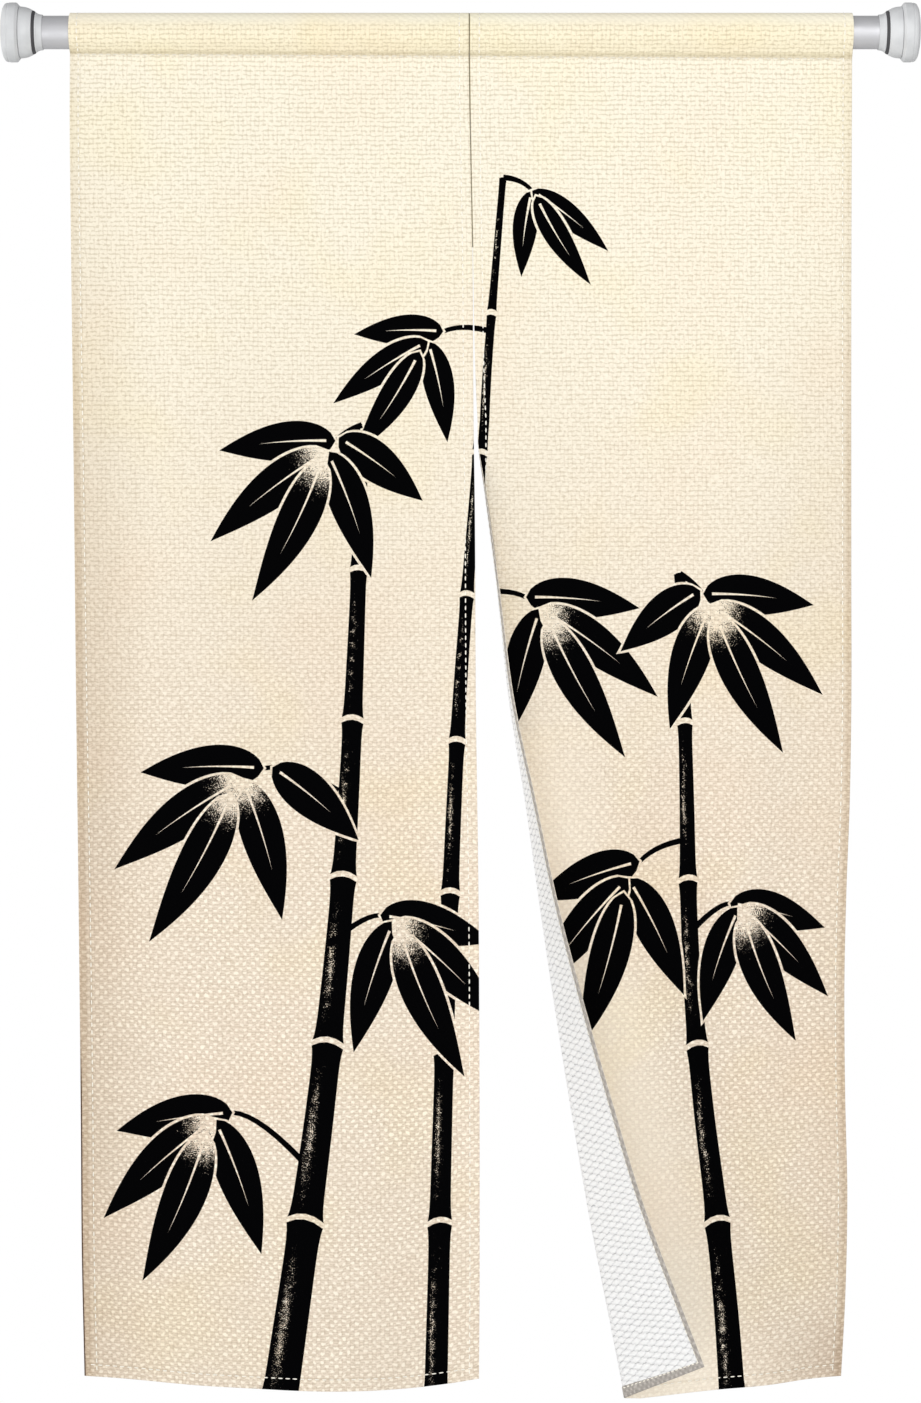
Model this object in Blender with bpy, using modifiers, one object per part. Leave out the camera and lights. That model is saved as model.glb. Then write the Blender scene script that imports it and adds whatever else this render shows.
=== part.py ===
"""Split doorway curtain on a tension rod.

Two cloth panels hang side by side from one rod by a sewn rod pocket. Below the seam that joins them the
curtain is slit, and the inner margin of the right panel is folded forward.

Metres, +Z up. The origin is the centre of the left foot's outer face, +X runs along the rod, and the
printed front of the cloth faces -Y. "Down" is a distance below the rod's axis.
"""

import math
from collections import namedtuple

import bpy

# Clearance
GAP = 0.0003                 # between neighbouring pieces

# Rod
ROD_LENGTH = 0.9964          # from foot face to foot face
TUBE_RADIUS = 0.018
TUBE_WALL = 0.0010
TUBE_START = 0.0385          # from the foot's face to the tube's end, inside the collar
TURN_STEPS = 32              # sides of every round piece
MERGE = 0.00005              # points of a turned piece closer than this are one

# Cloth
CLOTH = 0.0012               # thickness of one layer
HEM_CLOTH = 0.0022           # thickness where the edge is turned over
HEM = 0.011                  # width of the side hems
BOTTOM_HEM = 0.015
LENGTH = 1.4365              # from the pocket's seam to the lower edge at the outer corners
LEFT_WIDTH = 0.441
RIGHT_WIDTH = 0.420
SEAM_TURN = 0.010            # allowance that hangs behind the cloth below the pocket's seam
SEAM_DROP_LEFT = 0.0225      # pocket seam below the rod's axis, at X = 0
SEAM_DROP_RIGHT = 0.0285     # and at the far end of the rod
SEAM_BLEND = 0.070           # the soft relief grows over this length below the seam
POCKET_SLACK = 0.0008        # the pocket's front and back stand up to this far off the rod
SLACK_CHANGE = 0.4           # share of the slackness that comes and goes along the rod
SLACK_WAVES = 31.0           # radians of that change for each metre of rod
SLACK_POWER = 4              # how closely the slackness keeps to the rod's front and back
POCKET_PEAK = 0.0016         # the pocket's pressed top stands this far above the rod
PEAK_POWER = 8               # how narrow that pressed top is
FULLNESS = 0.968             # seen width of a panel over its flat width, where it hangs in soft waves

# Grid of a panel
POCKET_STEPS = 15            # rows round the rod
POCKET_CHORDS = 20           # chords of a full turn that are at least as long as the pocket's steps
HANG_STEPS = 40              # rows from the seam to the bottom hem
LEFT_COLUMNS = 15            # columns between the side hems
BODY_COLUMNS = 10            # columns of the right panel from the outer hem to the fold
CURL_COLUMNS = 4             # columns round the fold
FLAP_COLUMNS = 3             # columns from the fold to the inner hem
FOLD_ROOM = 0.045            # width kept for the fold's columns where there is no fold
LEAST_CURL = 0.0135          # least and greatest width of the columns round the fold
MOST_CURL = 0.036

# Turned pieces of a cap: distance from the foot's face, and radius
Turn = namedtuple("Turn", "along radius")
FOOT = (
    Turn(0.0, 0.0), Turn(0.0, 0.0215), Turn(0.0012, 0.0272), Turn(0.0030, 0.0310), Turn(0.0050, 0.0321),
    Turn(0.0158, 0.0321), Turn(0.0187, 0.0290), Turn(0.0187, 0.0),
)
CAP_BODY = (
    Turn(0.0190, 0.0), Turn(0.0190, 0.0280), Turn(0.0245, 0.0274), Turn(0.0280, 0.0265),
    Turn(0.0312, 0.0250), Turn(0.0330, 0.0242), Turn(0.0330, 0.0),
)
RING = (
    Turn(0.0333, 0.0), Turn(0.0333, 0.0237), Turn(0.0348, 0.0232), Turn(0.0359, 0.0224), Turn(0.0359, 0.0),
)
COLLAR = (
    Turn(0.0362, 0.0), Turn(0.0362, 0.0216), Turn(0.0374, 0.0212), Turn(0.0386, 0.0202),
    Turn(0.0410, 0.0194), Turn(0.0440, 0.0191), Turn(0.0440, TUBE_RADIUS + GAP),
    Turn(TUBE_START - GAP, TUBE_RADIUS + GAP), Turn(TUBE_START - GAP, 0.0),
)

# Side edges of the left panel: X of its outer and inner edge at each height
LeftEdges = namedtuple("LeftEdges", "down outer inner")
LEFT_EDGES = (
    LeftEdges(0.000, 0.0735, 0.5072),
    LeftEdges(0.090, 0.0730, 0.5084),
    LeftEdges(0.237, 0.0745, 0.5112),
    LeftEdges(0.420, 0.0768, 0.5124),
    LeftEdges(0.520, 0.0780, 0.5138),
    LeftEdges(0.726, 0.0803, 0.5149),
    LeftEdges(0.943, 0.0832, 0.5178),
    LeftEdges(1.160, 0.0855, 0.5189),
    LeftEdges(1.330, 0.0867, 0.5190),
    LeftEdges(1.465, 0.0896, 0.5183),
)

# Right panel: X of its outer edge, X of its inner outline, the fold's turn in degrees and its radius
RightEdges = namedtuple("RightEdges", "down outer inner turn radius")
RIGHT_EDGES = (
    RightEdges(0.000, 0.9244, 0.5078, 0.0, 0.0003),
    RightEdges(0.090, 0.9240, 0.5090, 0.0, 0.0003),
    RightEdges(0.237, 0.9235, 0.5118, 0.0, 0.0003),
    RightEdges(0.420, 0.9233, 0.5166, 0.0, 0.0003),
    RightEdges(0.468, 0.9233, 0.5210, 80.0, 0.001),
    RightEdges(0.510, 0.9233, 0.5268, 92.0, 0.004),
    RightEdges(0.596, 0.9233, 0.5372, 96.0, 0.007),
    RightEdges(0.726, 0.9233, 0.5510, 99.0, 0.009),
    RightEdges(0.835, 0.9215, 0.5685, 102.0, 0.010),
    RightEdges(0.943, 0.9175, 0.5840, 105.0, 0.011),
    RightEdges(1.052, 0.9155, 0.6007, 110.0, 0.012),
    RightEdges(1.160, 0.9165, 0.6185, 115.0, 0.013),
    RightEdges(1.270, 0.9190, 0.6380, 119.0, 0.014),
    RightEdges(1.378, 0.9175, 0.6595, 122.0, 0.015),
    RightEdges(1.487, 0.9120, 0.6805, 124.0, 0.016),
)

Fold = namedtuple("Fold", "radius turn outer span start lean cut")
FOLD_STEP = 0.02             # the fold's tilt is read over twice this height

# Lower edges: how far below the outer corner the edge hangs, across each panel from its outer edge
Hang = namedtuple("Hang", "across dip")
LEFT_DIP = (
    Hang(0.000, 0.0000), Hang(0.085, 0.0055), Hang(0.190, 0.0095), Hang(0.300, 0.0125),
    Hang(0.370, 0.0110), Hang(0.410, 0.0075), Hang(0.441, 0.0030),
)
RIGHT_DIP = (
    Hang(0.000, 0.0000), Hang(0.035, 0.0040), Hang(0.080, 0.0085), Hang(0.140, 0.0115),
    Hang(0.210, 0.0150), Hang(0.250, 0.0175), Hang(0.420, 0.0220),
)

# Soft waves: middle of each one across and down, its reach, and how far it stands forward
Wave = namedtuple("Wave", "across down reach_across reach_down forward")
LEFT_WAVES = (
    Wave(0.250, 1.420, 0.150, 0.480, 0.032),
    Wave(0.050, 0.960, 0.040, 0.360, -0.011),
    Wave(0.000, 1.000, 0.030, 0.420, 0.007),
    Wave(0.130, 1.230, 0.045, 0.300, 0.007),
    Wave(0.330, 0.560, 0.090, 0.260, -0.007),
    Wave(0.140, 0.430, 0.080, 0.240, 0.006),
    Wave(0.400, 1.150, 0.060, 0.330, -0.009),
    Wave(0.441, 0.900, 0.050, 0.300, 0.006),
)
RIGHT_WAVES = (
    Wave(0.260, 1.480, 0.110, 0.620, 0.038),
    Wave(0.050, 1.060, 0.045, 0.380, -0.010),
    Wave(0.000, 1.100, 0.030, 0.420, 0.006),
    Wave(0.120, 0.620, 0.070, 0.300, 0.007),
    Wave(0.020, 1.440, 0.050, 0.130, -0.014),
    Wave(0.300, 0.420, 0.090, 0.220, -0.006),
    Wave(0.150, 1.200, 0.050, 0.280, -0.006),
)

# Plain colours
Finish = namedtuple("Finish", "name colour roughness metallic")
CLOTH_FINISH = Finish("cloth", (0.83, 0.74, 0.58), 0.9, 0.0)
TUBE_FINISH = Finish("tube_paint", (0.62, 0.62, 0.64), 0.3, 0.0)
CAP_FINISH = Finish("cap_plastic", (0.57, 0.58, 0.60), 0.45, 0.0)
RING_FINISH = Finish("ring_rubber", (0.06, 0.06, 0.065), 0.6, 0.0)


def make_material(finish):
    """A plain Principled material."""
    material = bpy.data.materials.new(finish.name)
    material.use_nodes = True
    shader = material.node_tree.nodes["Principled BSDF"]
    shader.inputs["Base Color"].default_value = (*finish.colour, 1.0)
    shader.inputs["Roughness"].default_value = finish.roughness
    shader.inputs["Metallic"].default_value = finish.metallic
    return material


def smooth_step(value):
    """0 below 0, 1 above 1, with a soft start and end."""
    value = min(1.0, max(0.0, value))
    return value * value * (3.0 - 2.0 * value)


def read_table(table, column, place):
    """Smooth value of a column at a place along the table's first column."""
    places = [row[0] for row in table]
    values = [getattr(row, column) for row in table]
    place = min(places[-1], max(places[0], place))
    end = next(k for k in range(1, len(places)) if place <= places[k])
    start = end - 1
    steps = [(values[k + 1] - values[k]) / (places[k + 1] - places[k]) for k in range(len(places) - 1)]

    def slope(k):
        near = steps[max(0, k - 1)]
        far = steps[min(len(steps) - 1, k)]
        return 0.0 if near * far < 0.0 else 0.5 * (near + far)

    span = places[end] - places[start]
    t = (place - places[start]) / span
    return (
        values[start] * (1.0 + 2.0 * t) * (1.0 - t) ** 2
        + values[end] * t * t * (3.0 - 2.0 * t)
        + span * slope(start) * t * (1.0 - t) ** 2
        - span * slope(end) * t * t * (1.0 - t)
    )


def seam_drop(x):
    """How far below the rod's axis the pocket is sewn shut."""
    return SEAM_DROP_LEFT + (SEAM_DROP_RIGHT - SEAM_DROP_LEFT) * x / ROD_LENGTH


def middle_drop(edges):
    """The pocket seam's drop at the middle of a panel, which its heights are counted from."""
    return seam_drop(0.5 * (edges[0].outer + edges[0].inner))


def wave_depth(waves, across, down):
    """Forward stand of the soft waves at one place of a panel."""
    depth = 0.0
    for wave in waves:
        sideways = (across - wave.across) / wave.reach_across
        along = (down - wave.down) / wave.reach_down
        depth += wave.forward * math.exp(-sideways ** 2 - along ** 2)
    return depth


def hang_depth(waves, across, below_seam, down):
    """Y of the cloth: nothing at the seam, then the soft waves."""
    return -wave_depth(waves, across, down) * smooth_step(below_seam / SEAM_BLEND)


def dip(table, across, below_seam):
    """Extra length of the cloth towards its lower edge."""
    return read_table(table, "dip", across) * smooth_step(2.0 * below_seam / LENGTH - 1.0)


def left_point(across, below_seam):
    """Place of the left panel's cloth. Across runs from the outer edge to the slit."""
    share = across / LEFT_WIDTH
    drop = middle_drop(LEFT_EDGES)
    down = drop + below_seam
    outer = read_table(LEFT_EDGES, "outer", down)
    inner = read_table(LEFT_EDGES, "inner", down)
    x = outer + (inner - outer) * share
    slope = seam_drop(x) - drop
    y = hang_depth(LEFT_WAVES, across, below_seam, down)
    z = -down - slope * (1.0 - smooth_step(below_seam / LENGTH)) - dip(LEFT_DIP, across, below_seam)
    return (x, y, z)


def beside_fold(down):
    """Seen and flat width of the right panel between its outer edge and its fold."""
    down = min(down, RIGHT_EDGES[-1].down)
    turn = math.radians(read_table(RIGHT_EDGES, "turn", down))
    bend = math.sin(min(turn, 0.5 * math.pi))
    inner = read_table(RIGHT_EDGES, "inner", down) + read_table(RIGHT_EDGES, "radius", down) * bend
    span = read_table(RIGHT_EDGES, "outer", down) - inner
    return span, min(RIGHT_WIDTH, span / FULLNESS)


def fold_shape(down):
    """The right panel's outer edge and its fold at one height.

    Span is the seen width of the cloth beside the fold, and start is that width on the flat cloth. Lean is
    the fold's tilt as it hangs, and cut is its tilt across the threads.
    """
    radius = read_table(RIGHT_EDGES, "radius", down)
    turn = math.radians(read_table(RIGHT_EDGES, "turn", down))
    outer = read_table(RIGHT_EDGES, "outer", down)
    span, start = beside_fold(down)
    inner_near = read_table(RIGHT_EDGES, "inner", down - FOLD_STEP)
    inner_far = read_table(RIGHT_EDGES, "inner", down + FOLD_STEP)
    lean = math.atan2(inner_far - inner_near, 2.0 * FOLD_STEP)
    start_near = beside_fold(down - FOLD_STEP)[1]
    start_far = beside_fold(down + FOLD_STEP)[1]
    cut = math.atan2(start_near - start_far, 2.0 * FOLD_STEP)
    return Fold(radius, turn, outer, span, start, lean, cut)


def right_body_point(across, below_seam, down, outer, shrink):
    """Place of the right panel's cloth between its outer edge and the fold."""
    x = outer - across * shrink
    slope = seam_drop(x) - middle_drop(RIGHT_EDGES)
    y = hang_depth(RIGHT_WAVES, across, below_seam, down)
    z = -down - slope * (1.0 - smooth_step(below_seam / LENGTH)) - dip(RIGHT_DIP, across, below_seam)
    return (x, y, z)


def right_point(across, below_seam):
    """Place of the right panel's cloth. Across runs from the outer edge to the slit."""
    down = middle_drop(RIGHT_EDGES) + below_seam
    fold = fold_shape(down)
    shrink = fold.span / fold.start
    if across <= fold.start or fold.turn <= 0.0:
        return right_body_point(across, below_seam, down, fold.outer, shrink)
    x, y, z = right_body_point(fold.start, below_seam, down, fold.outer, shrink)
    past = across - fold.start
    along = past * math.sin(fold.cut)
    round_it = past * math.cos(fold.cut)
    angle = min(fold.turn, round_it / fold.radius)
    straight = max(0.0, round_it - fold.radius * fold.turn)
    sideways = fold.radius * math.sin(angle) + straight * math.cos(fold.turn)
    forward = fold.radius * (1.0 - math.cos(angle)) + straight * math.sin(fold.turn)
    x -= along * math.sin(fold.lean) + sideways * math.cos(fold.lean)
    z += along * math.cos(fold.lean) - sideways * math.sin(fold.lean)
    return (x, y - forward, z)


def pocket_section(x):
    """Points round the rod from the back allowance's end to just above the front seam, as Y and Z."""
    drop = seam_drop(x)
    radius = (TUBE_RADIUS + GAP) / math.cos(math.pi / POCKET_CHORDS) + 0.5 * CLOTH
    leave = math.acos(radius / drop)
    behind = CLOTH + GAP
    looseness = POCKET_SLACK * (1.0 - SLACK_CHANGE + SLACK_CHANGE * math.sin(SLACK_WAVES * x))
    points = [(behind, -drop - SEAM_TURN), (behind, -drop)]
    for k in range(POCKET_STEPS + 1):
        angle = leave + (2.0 * math.pi - 2.0 * leave) * k / POCKET_STEPS
        slack = looseness * math.sin(angle) ** SLACK_POWER
        peak = POCKET_PEAK * max(0.0, -math.cos(angle)) ** PEAK_POWER
        reach = radius + slack + peak
        points.append((reach * math.sin(angle), -reach * math.cos(angle)))
    return points


def left_across(_below_seam):
    """Places of the left panel's columns across the cloth."""
    inside = [HEM + (LEFT_WIDTH - 2.0 * HEM) * k / LEFT_COLUMNS for k in range(LEFT_COLUMNS + 1)]
    return [0.0, *inside, LEFT_WIDTH]


def right_across(below_seam):
    """Places of the right panel's columns: they follow the fold down the cloth."""
    down = middle_drop(RIGHT_EDGES) + below_seam
    fold = fold_shape(down)
    start = min(fold.start, RIGHT_WIDTH - FOLD_ROOM)
    curl = min(max(fold.radius * fold.turn, LEAST_CURL), MOST_CURL)
    flap_end = RIGHT_WIDTH - HEM
    body = [HEM + (start - HEM) * k / BODY_COLUMNS for k in range(BODY_COLUMNS + 1)]
    round_it = [start + curl * k / CURL_COLUMNS for k in range(1, CURL_COLUMNS + 1)]
    flap = [start + curl + (flap_end - start - curl) * k / FLAP_COLUMNS for k in range(1, FLAP_COLUMNS + 1)]
    return [0.0, *body, *round_it, *flap, RIGHT_WIDTH]


def panel_rows(point_at, across_at):
    """Rows of points of a panel, from the end of its allowance behind the rod to its lower edge."""
    lengths = [(LENGTH - BOTTOM_HEM) * k / HANG_STEPS for k in range(HANG_STEPS + 1)]
    lengths.insert(1, SEAM_TURN)
    lengths.append(LENGTH)
    top = [point_at(across, 0.0)[0] for across in across_at(0.0)]
    sections = [pocket_section(x) for x in top]
    rows = []
    for k in range(len(sections[0])):
        rows.append([(x, *section[k]) for x, section in zip(top, sections)])
    for length in lengths:
        rows.append([point_at(across, length) for across in across_at(length)])
    return rows, len(rows) - len(lengths)


def make_panel(name, point_at, across_at, material, collection):
    """One cloth panel: a grid laid on its hung shape, thickened, and thicker along its hems."""
    rows, pocket_rows = panel_rows(point_at, across_at)
    columns = len(rows[0])
    bpy.ops.mesh.primitive_grid_add(x_subdivisions=columns - 1, y_subdivisions=len(rows) - 1, size=1.0)
    panel = bpy.context.object
    panel.name = name
    panel.data.name = name
    hems = panel.vertex_groups.new(name="hems")
    for index, vertex in enumerate(panel.data.vertices):
        row, column = divmod(index, columns)
        vertex.co = rows[row][column]
        below_pocket = row > pocket_rows + 1
        at_side = column in (0, columns - 1)
        at_bottom = row == len(rows) - 1
        hems.add([index], 1.0 if below_pocket and (at_side or at_bottom) else 0.0, "REPLACE")
    solidify = panel.modifiers.new("cloth", "SOLIDIFY")
    solidify.thickness = HEM_CLOTH
    solidify.offset = 0.0
    solidify.vertex_group = hems.name
    solidify.thickness_vertex_group = CLOTH / HEM_CLOTH
    panel.data.materials.append(material)
    move_to(panel, collection)
    return panel


def move_to(piece, collection):
    """Puts a piece in the object's own collection."""
    for other in list(piece.users_collection):
        other.objects.unlink(piece)
    collection.objects.link(piece)


def make_turned(name, outline, closed, mirrored, material, collection):
    """A turned piece with its axis along X, at the left end or mirrored to the right end."""
    points = [(turn.radius, 0.0, -turn.along) for turn in outline]
    edges = [(k, k + 1) for k in range(len(points) - 1)]
    if closed:
        edges.append((len(points) - 1, 0))
    mesh = bpy.data.meshes.new(name)
    mesh.from_pydata(points, edges, [])
    mesh.materials.append(material)
    piece = bpy.data.objects.new(name, mesh)
    collection.objects.link(piece)
    screw = piece.modifiers.new("turn", "SCREW")
    screw.steps = TURN_STEPS
    screw.render_steps = TURN_STEPS
    screw.use_merge_vertices = True
    screw.merge_threshold = MERGE
    screw.use_smooth_shade = True
    piece.rotation_euler = (0.0, 0.5 * math.pi if mirrored else -0.5 * math.pi, 0.0)
    piece.location = (ROD_LENGTH if mirrored else 0.0, 0.0, 0.0)
    return piece


def make_tube(material, collection):
    """The rod's tube: an open-ended pipe between the two collars."""
    inner = TUBE_RADIUS - TUBE_WALL
    end = ROD_LENGTH - TUBE_START
    wall = (
        Turn(TUBE_START, inner), Turn(TUBE_START, TUBE_RADIUS), Turn(end, TUBE_RADIUS), Turn(end, inner),
    )
    return make_turned("rod_tube", wall, True, False, material, collection)


def main():
    for leftover in list(bpy.data.objects):
        bpy.data.objects.remove(leftover)
    collection = bpy.data.collections.new("split_curtain_on_rod")
    bpy.context.scene.collection.children.link(collection)

    cloth = make_material(CLOTH_FINISH)
    cap_plastic = make_material(CAP_FINISH)
    ring_rubber = make_material(RING_FINISH)
    make_panel("panel_left", left_point, left_across, cloth, collection)
    make_panel("panel_right", right_point, right_across, cloth, collection)
    make_tube(make_material(TUBE_FINISH), collection)
    for side, mirrored in (("left", False), ("right", True)):
        make_turned(f"{side}_foot", FOOT, False, mirrored, cap_plastic, collection)
        make_turned(f"{side}_cap_body", CAP_BODY, False, mirrored, cap_plastic, collection)
        make_turned(f"{side}_ring", RING, False, mirrored, ring_rubber, collection)
        make_turned(f"{side}_collar", COLLAR, False, mirrored, cap_plastic, collection)


main()
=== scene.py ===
"""Looks of the split doorway curtain on its tension rod.

Both panels are fine sheets of woven cloth on the hung shape of their solids: printed on the front, white
behind, with turned hems and stitching. The rod's tube and caps are turned pieces with rounded corners.

Metres, in the frame of the solids: +X along the rod, +Z up, and the printed front faces -Y. On the flat
cloth "across" runs from the left panel's outer edge to the right panel's, and "below" is the distance under
the pocket's seam. "Down" is a distance under the rod's axis.
"""

import math
from collections import namedtuple

import bmesh
import bpy
import numpy as np
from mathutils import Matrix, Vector
from mathutils.geometry import delaunay_2d_cdt
from mathutils.kdtree import KDTree


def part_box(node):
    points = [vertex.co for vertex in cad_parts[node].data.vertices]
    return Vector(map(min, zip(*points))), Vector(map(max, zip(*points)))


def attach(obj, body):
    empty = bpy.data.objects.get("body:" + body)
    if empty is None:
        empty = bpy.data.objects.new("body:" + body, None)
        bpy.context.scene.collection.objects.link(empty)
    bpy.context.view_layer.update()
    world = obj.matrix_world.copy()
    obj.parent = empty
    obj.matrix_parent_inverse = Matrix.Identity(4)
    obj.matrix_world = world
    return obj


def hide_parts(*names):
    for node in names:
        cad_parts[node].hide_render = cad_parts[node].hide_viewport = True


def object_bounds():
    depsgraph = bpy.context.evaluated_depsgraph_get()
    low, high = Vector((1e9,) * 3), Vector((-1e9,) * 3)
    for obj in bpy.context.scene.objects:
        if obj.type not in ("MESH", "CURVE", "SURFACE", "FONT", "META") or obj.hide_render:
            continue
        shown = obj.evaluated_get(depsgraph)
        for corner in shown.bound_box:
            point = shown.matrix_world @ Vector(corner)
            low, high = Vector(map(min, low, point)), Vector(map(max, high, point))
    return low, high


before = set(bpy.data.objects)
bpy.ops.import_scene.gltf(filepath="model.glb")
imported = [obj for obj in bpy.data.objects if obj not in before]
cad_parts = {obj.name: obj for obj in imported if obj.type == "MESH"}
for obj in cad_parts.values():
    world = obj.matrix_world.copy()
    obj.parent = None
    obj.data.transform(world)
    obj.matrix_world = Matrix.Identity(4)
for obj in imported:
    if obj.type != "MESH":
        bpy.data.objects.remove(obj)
CAD_LOW, CAD_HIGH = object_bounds()

# Rod
TUBE_LOW, TUBE_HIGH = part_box("rod_tube")
TUBE_RADIUS = 0.5 * (TUBE_HIGH[2] - TUBE_LOW[2])
TUBE_WALL = 0.0010
ROD_LENGTH = CAD_HIGH[0] - CAD_LOW[0]
ROD_CLEARANCE = 0.0003       # between the tube and its neighbours

# Cloth, as its solids hang
SOLID_CLOTH = 0.0012         # thickness of the solids
LENGTH = 1.4365              # from the pocket's seam to the lower edge at the outer corners
LEFT_WIDTH = 0.441
RIGHT_WIDTH = 0.420
WIDTH = LEFT_WIDTH + RIGHT_WIDTH
SEAM_TURN = 0.010            # allowance that hangs behind the cloth below the pocket's seam
SEAM_DROP_LEFT = 0.0225      # pocket seam below the rod's axis, at X = 0
SEAM_DROP_RIGHT = 0.0285     # and at the far end of the rod
SEAM_BLEND = 0.070           # the soft relief grows over this length below the seam
POCKET = 0.137               # cloth of the pocket and its allowance
POCKET_SLACK = 0.0008        # the pocket's front and back stand up to this far off the rod
SLACK_ENDS = 8.0             # the slackness is full at one over this of the way round
SLACK_CHANGE = 0.4           # share of the slackness that comes and goes along the rod
SLACK_WAVES = 31.0           # radians of that change for each metre of rod
SLACK_POWER = 4
POCKET_PEAK = 0.0016         # the pocket's pressed top stands this far above the rod
PEAK_POWER = 8
POCKET_CHORDS = 20
FULLNESS = 0.968             # seen width of a panel over its flat width, where it hangs in soft waves
FOLD_STEP = 0.02

# Cloth, as it looks
CLOTH = 0.0010
HEM = 0.0115                 # width of the side hems
BOTTOM_HEM = 0.0150
HEM_LAYER = 0.0008           # the turned-over layer stands this far off the back
HEM_STEP = 0.0004            # over this width
NOSE = 0.0010                # radius of a folded edge
NOSE_LEAST = 0.15            # share of the thickness left at the very edge
SIDE_STITCH = 0.0098         # stitch line from a side edge
BOTTOM_STITCH = 0.0128
SLIT_STITCH = 0.0108
SLIT_NARROWING = 0.36        # the right panel's slit hem is narrower by this share at its foot
OUTER_TOP = 0.88             # the left panel's outer hem widens from this share at the top
OUTER_FOOT = 1.44            # to this one at its foot
TAPER_LENGTH = 0.24          # its lower hem tapers over this length towards the slit
HEM_TAPER = 0.5              # and loses this share of its width there
SEAM_LENGTH = 0.208          # the panels are joined this far below the pocket
STITCH_GROOVE = 0.00022      # the thread pulls the cloth in by this
GROOVE_REACH = 0.0010

# Grid of a sheet
STEP = 0.0080                # between rows and columns in the open
POCKET_STEP = 0.0045
CURL_STEPS = 12              # columns round the fold
FLAP_STEP = 0.0060
FOLD_ROOM = 0.045            # width kept for the fold's columns where there is no fold
LEAST_CURL = 0.0135
MOST_CURL = 0.036
CLEAR_OF_PRINT = 0.0016      # grid points keep this far from the outlines of the print
ROUNDING = 0.000001
EDGE_STEPS = (0.0, 0.0003, 0.0010, 0.0030, 0.0060, 0.0086, 0.0098, 0.0108, 0.0113, 0.0117, 0.0140)
BOTTOM_STEPS = (0.0, 0.0003, 0.0010, 0.0035, 0.0070, 0.0105, 0.0118, 0.0128, 0.0138, 0.0148, 0.0152, 0.0180)

# Side edges of the left panel: X of its outer and inner edge at each height
LeftEdges = namedtuple("LeftEdges", "down outer inner")
LEFT_EDGES = (
    LeftEdges(0.000, 0.0735, 0.5072),
    LeftEdges(0.090, 0.0730, 0.5084),
    LeftEdges(0.237, 0.0745, 0.5112),
    LeftEdges(0.420, 0.0768, 0.5124),
    LeftEdges(0.520, 0.0780, 0.5138),
    LeftEdges(0.726, 0.0803, 0.5149),
    LeftEdges(0.943, 0.0832, 0.5178),
    LeftEdges(1.160, 0.0855, 0.5189),
    LeftEdges(1.330, 0.0867, 0.5190),
    LeftEdges(1.465, 0.0896, 0.5183),
)

# Right panel: X of its outer edge, X of its inner outline, the fold's turn in degrees and its radius
RightEdges = namedtuple("RightEdges", "down outer inner turn radius")
RIGHT_EDGES = (
    RightEdges(0.000, 0.9244, 0.5078, 0.0, 0.0003),
    RightEdges(0.090, 0.9240, 0.5090, 0.0, 0.0003),
    RightEdges(0.237, 0.9235, 0.5118, 0.0, 0.0003),
    RightEdges(0.420, 0.9233, 0.5166, 0.0, 0.0003),
    RightEdges(0.468, 0.9233, 0.5210, 80.0, 0.001),
    RightEdges(0.510, 0.9233, 0.5268, 92.0, 0.004),
    RightEdges(0.596, 0.9233, 0.5372, 96.0, 0.007),
    RightEdges(0.726, 0.9233, 0.5510, 99.0, 0.009),
    RightEdges(0.835, 0.9215, 0.5685, 102.0, 0.010),
    RightEdges(0.943, 0.9175, 0.5840, 105.0, 0.011),
    RightEdges(1.052, 0.9155, 0.6007, 110.0, 0.012),
    RightEdges(1.160, 0.9165, 0.6185, 115.0, 0.013),
    RightEdges(1.270, 0.9190, 0.6380, 119.0, 0.014),
    RightEdges(1.378, 0.9175, 0.6595, 122.0, 0.015),
    RightEdges(1.487, 0.9120, 0.6805, 124.0, 0.016),
)

# Lower edges: how far below the outer corner the edge hangs, across each panel from its outer edge
Hang = namedtuple("Hang", "across dip")
LEFT_DIP = (
    Hang(0.000, 0.0000), Hang(0.085, 0.0055), Hang(0.190, 0.0095), Hang(0.300, 0.0125),
    Hang(0.370, 0.0110), Hang(0.410, 0.0075), Hang(0.441, 0.0030),
)
RIGHT_DIP = (
    Hang(0.000, 0.0000), Hang(0.035, 0.0040), Hang(0.080, 0.0085), Hang(0.140, 0.0115),
    Hang(0.210, 0.0150), Hang(0.250, 0.0175), Hang(0.420, 0.0220),
)

# Soft waves: middle of each one across and down, its reach, and how far it stands forward
Wave = namedtuple("Wave", "across down reach_across reach_down forward")
LEFT_WAVES = (
    Wave(0.250, 1.420, 0.150, 0.480, 0.032),
    Wave(0.050, 0.960, 0.040, 0.360, -0.011),
    Wave(0.000, 1.000, 0.030, 0.420, 0.007),
    Wave(0.130, 1.230, 0.045, 0.300, 0.007),
    Wave(0.330, 0.560, 0.090, 0.260, -0.007),
    Wave(0.140, 0.430, 0.080, 0.240, 0.006),
    Wave(0.400, 1.150, 0.060, 0.330, -0.009),
    Wave(0.441, 0.900, 0.050, 0.300, 0.006),
)
RIGHT_WAVES = (
    Wave(0.260, 1.480, 0.110, 0.620, 0.038),
    Wave(0.050, 1.060, 0.045, 0.380, -0.010),
    Wave(0.000, 1.100, 0.030, 0.420, 0.006),
    Wave(0.120, 0.620, 0.070, 0.300, 0.007),
    Wave(0.020, 1.440, 0.050, 0.130, -0.014),
    Wave(0.300, 0.420, 0.090, 0.220, -0.006),
    Wave(0.150, 1.200, 0.050, 0.280, -0.006),
)


# Hung shape of the cloth

def smooth_step(value):
    """0 below 0, 1 above 1, with a soft start and end."""
    value = np.clip(value, 0.0, 1.0)
    return value * value * (3.0 - 2.0 * value)


def unit(vectors):
    """Vectors of length 1 with the same directions."""
    return vectors / np.linalg.norm(vectors, axis=-1)[..., None]


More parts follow.
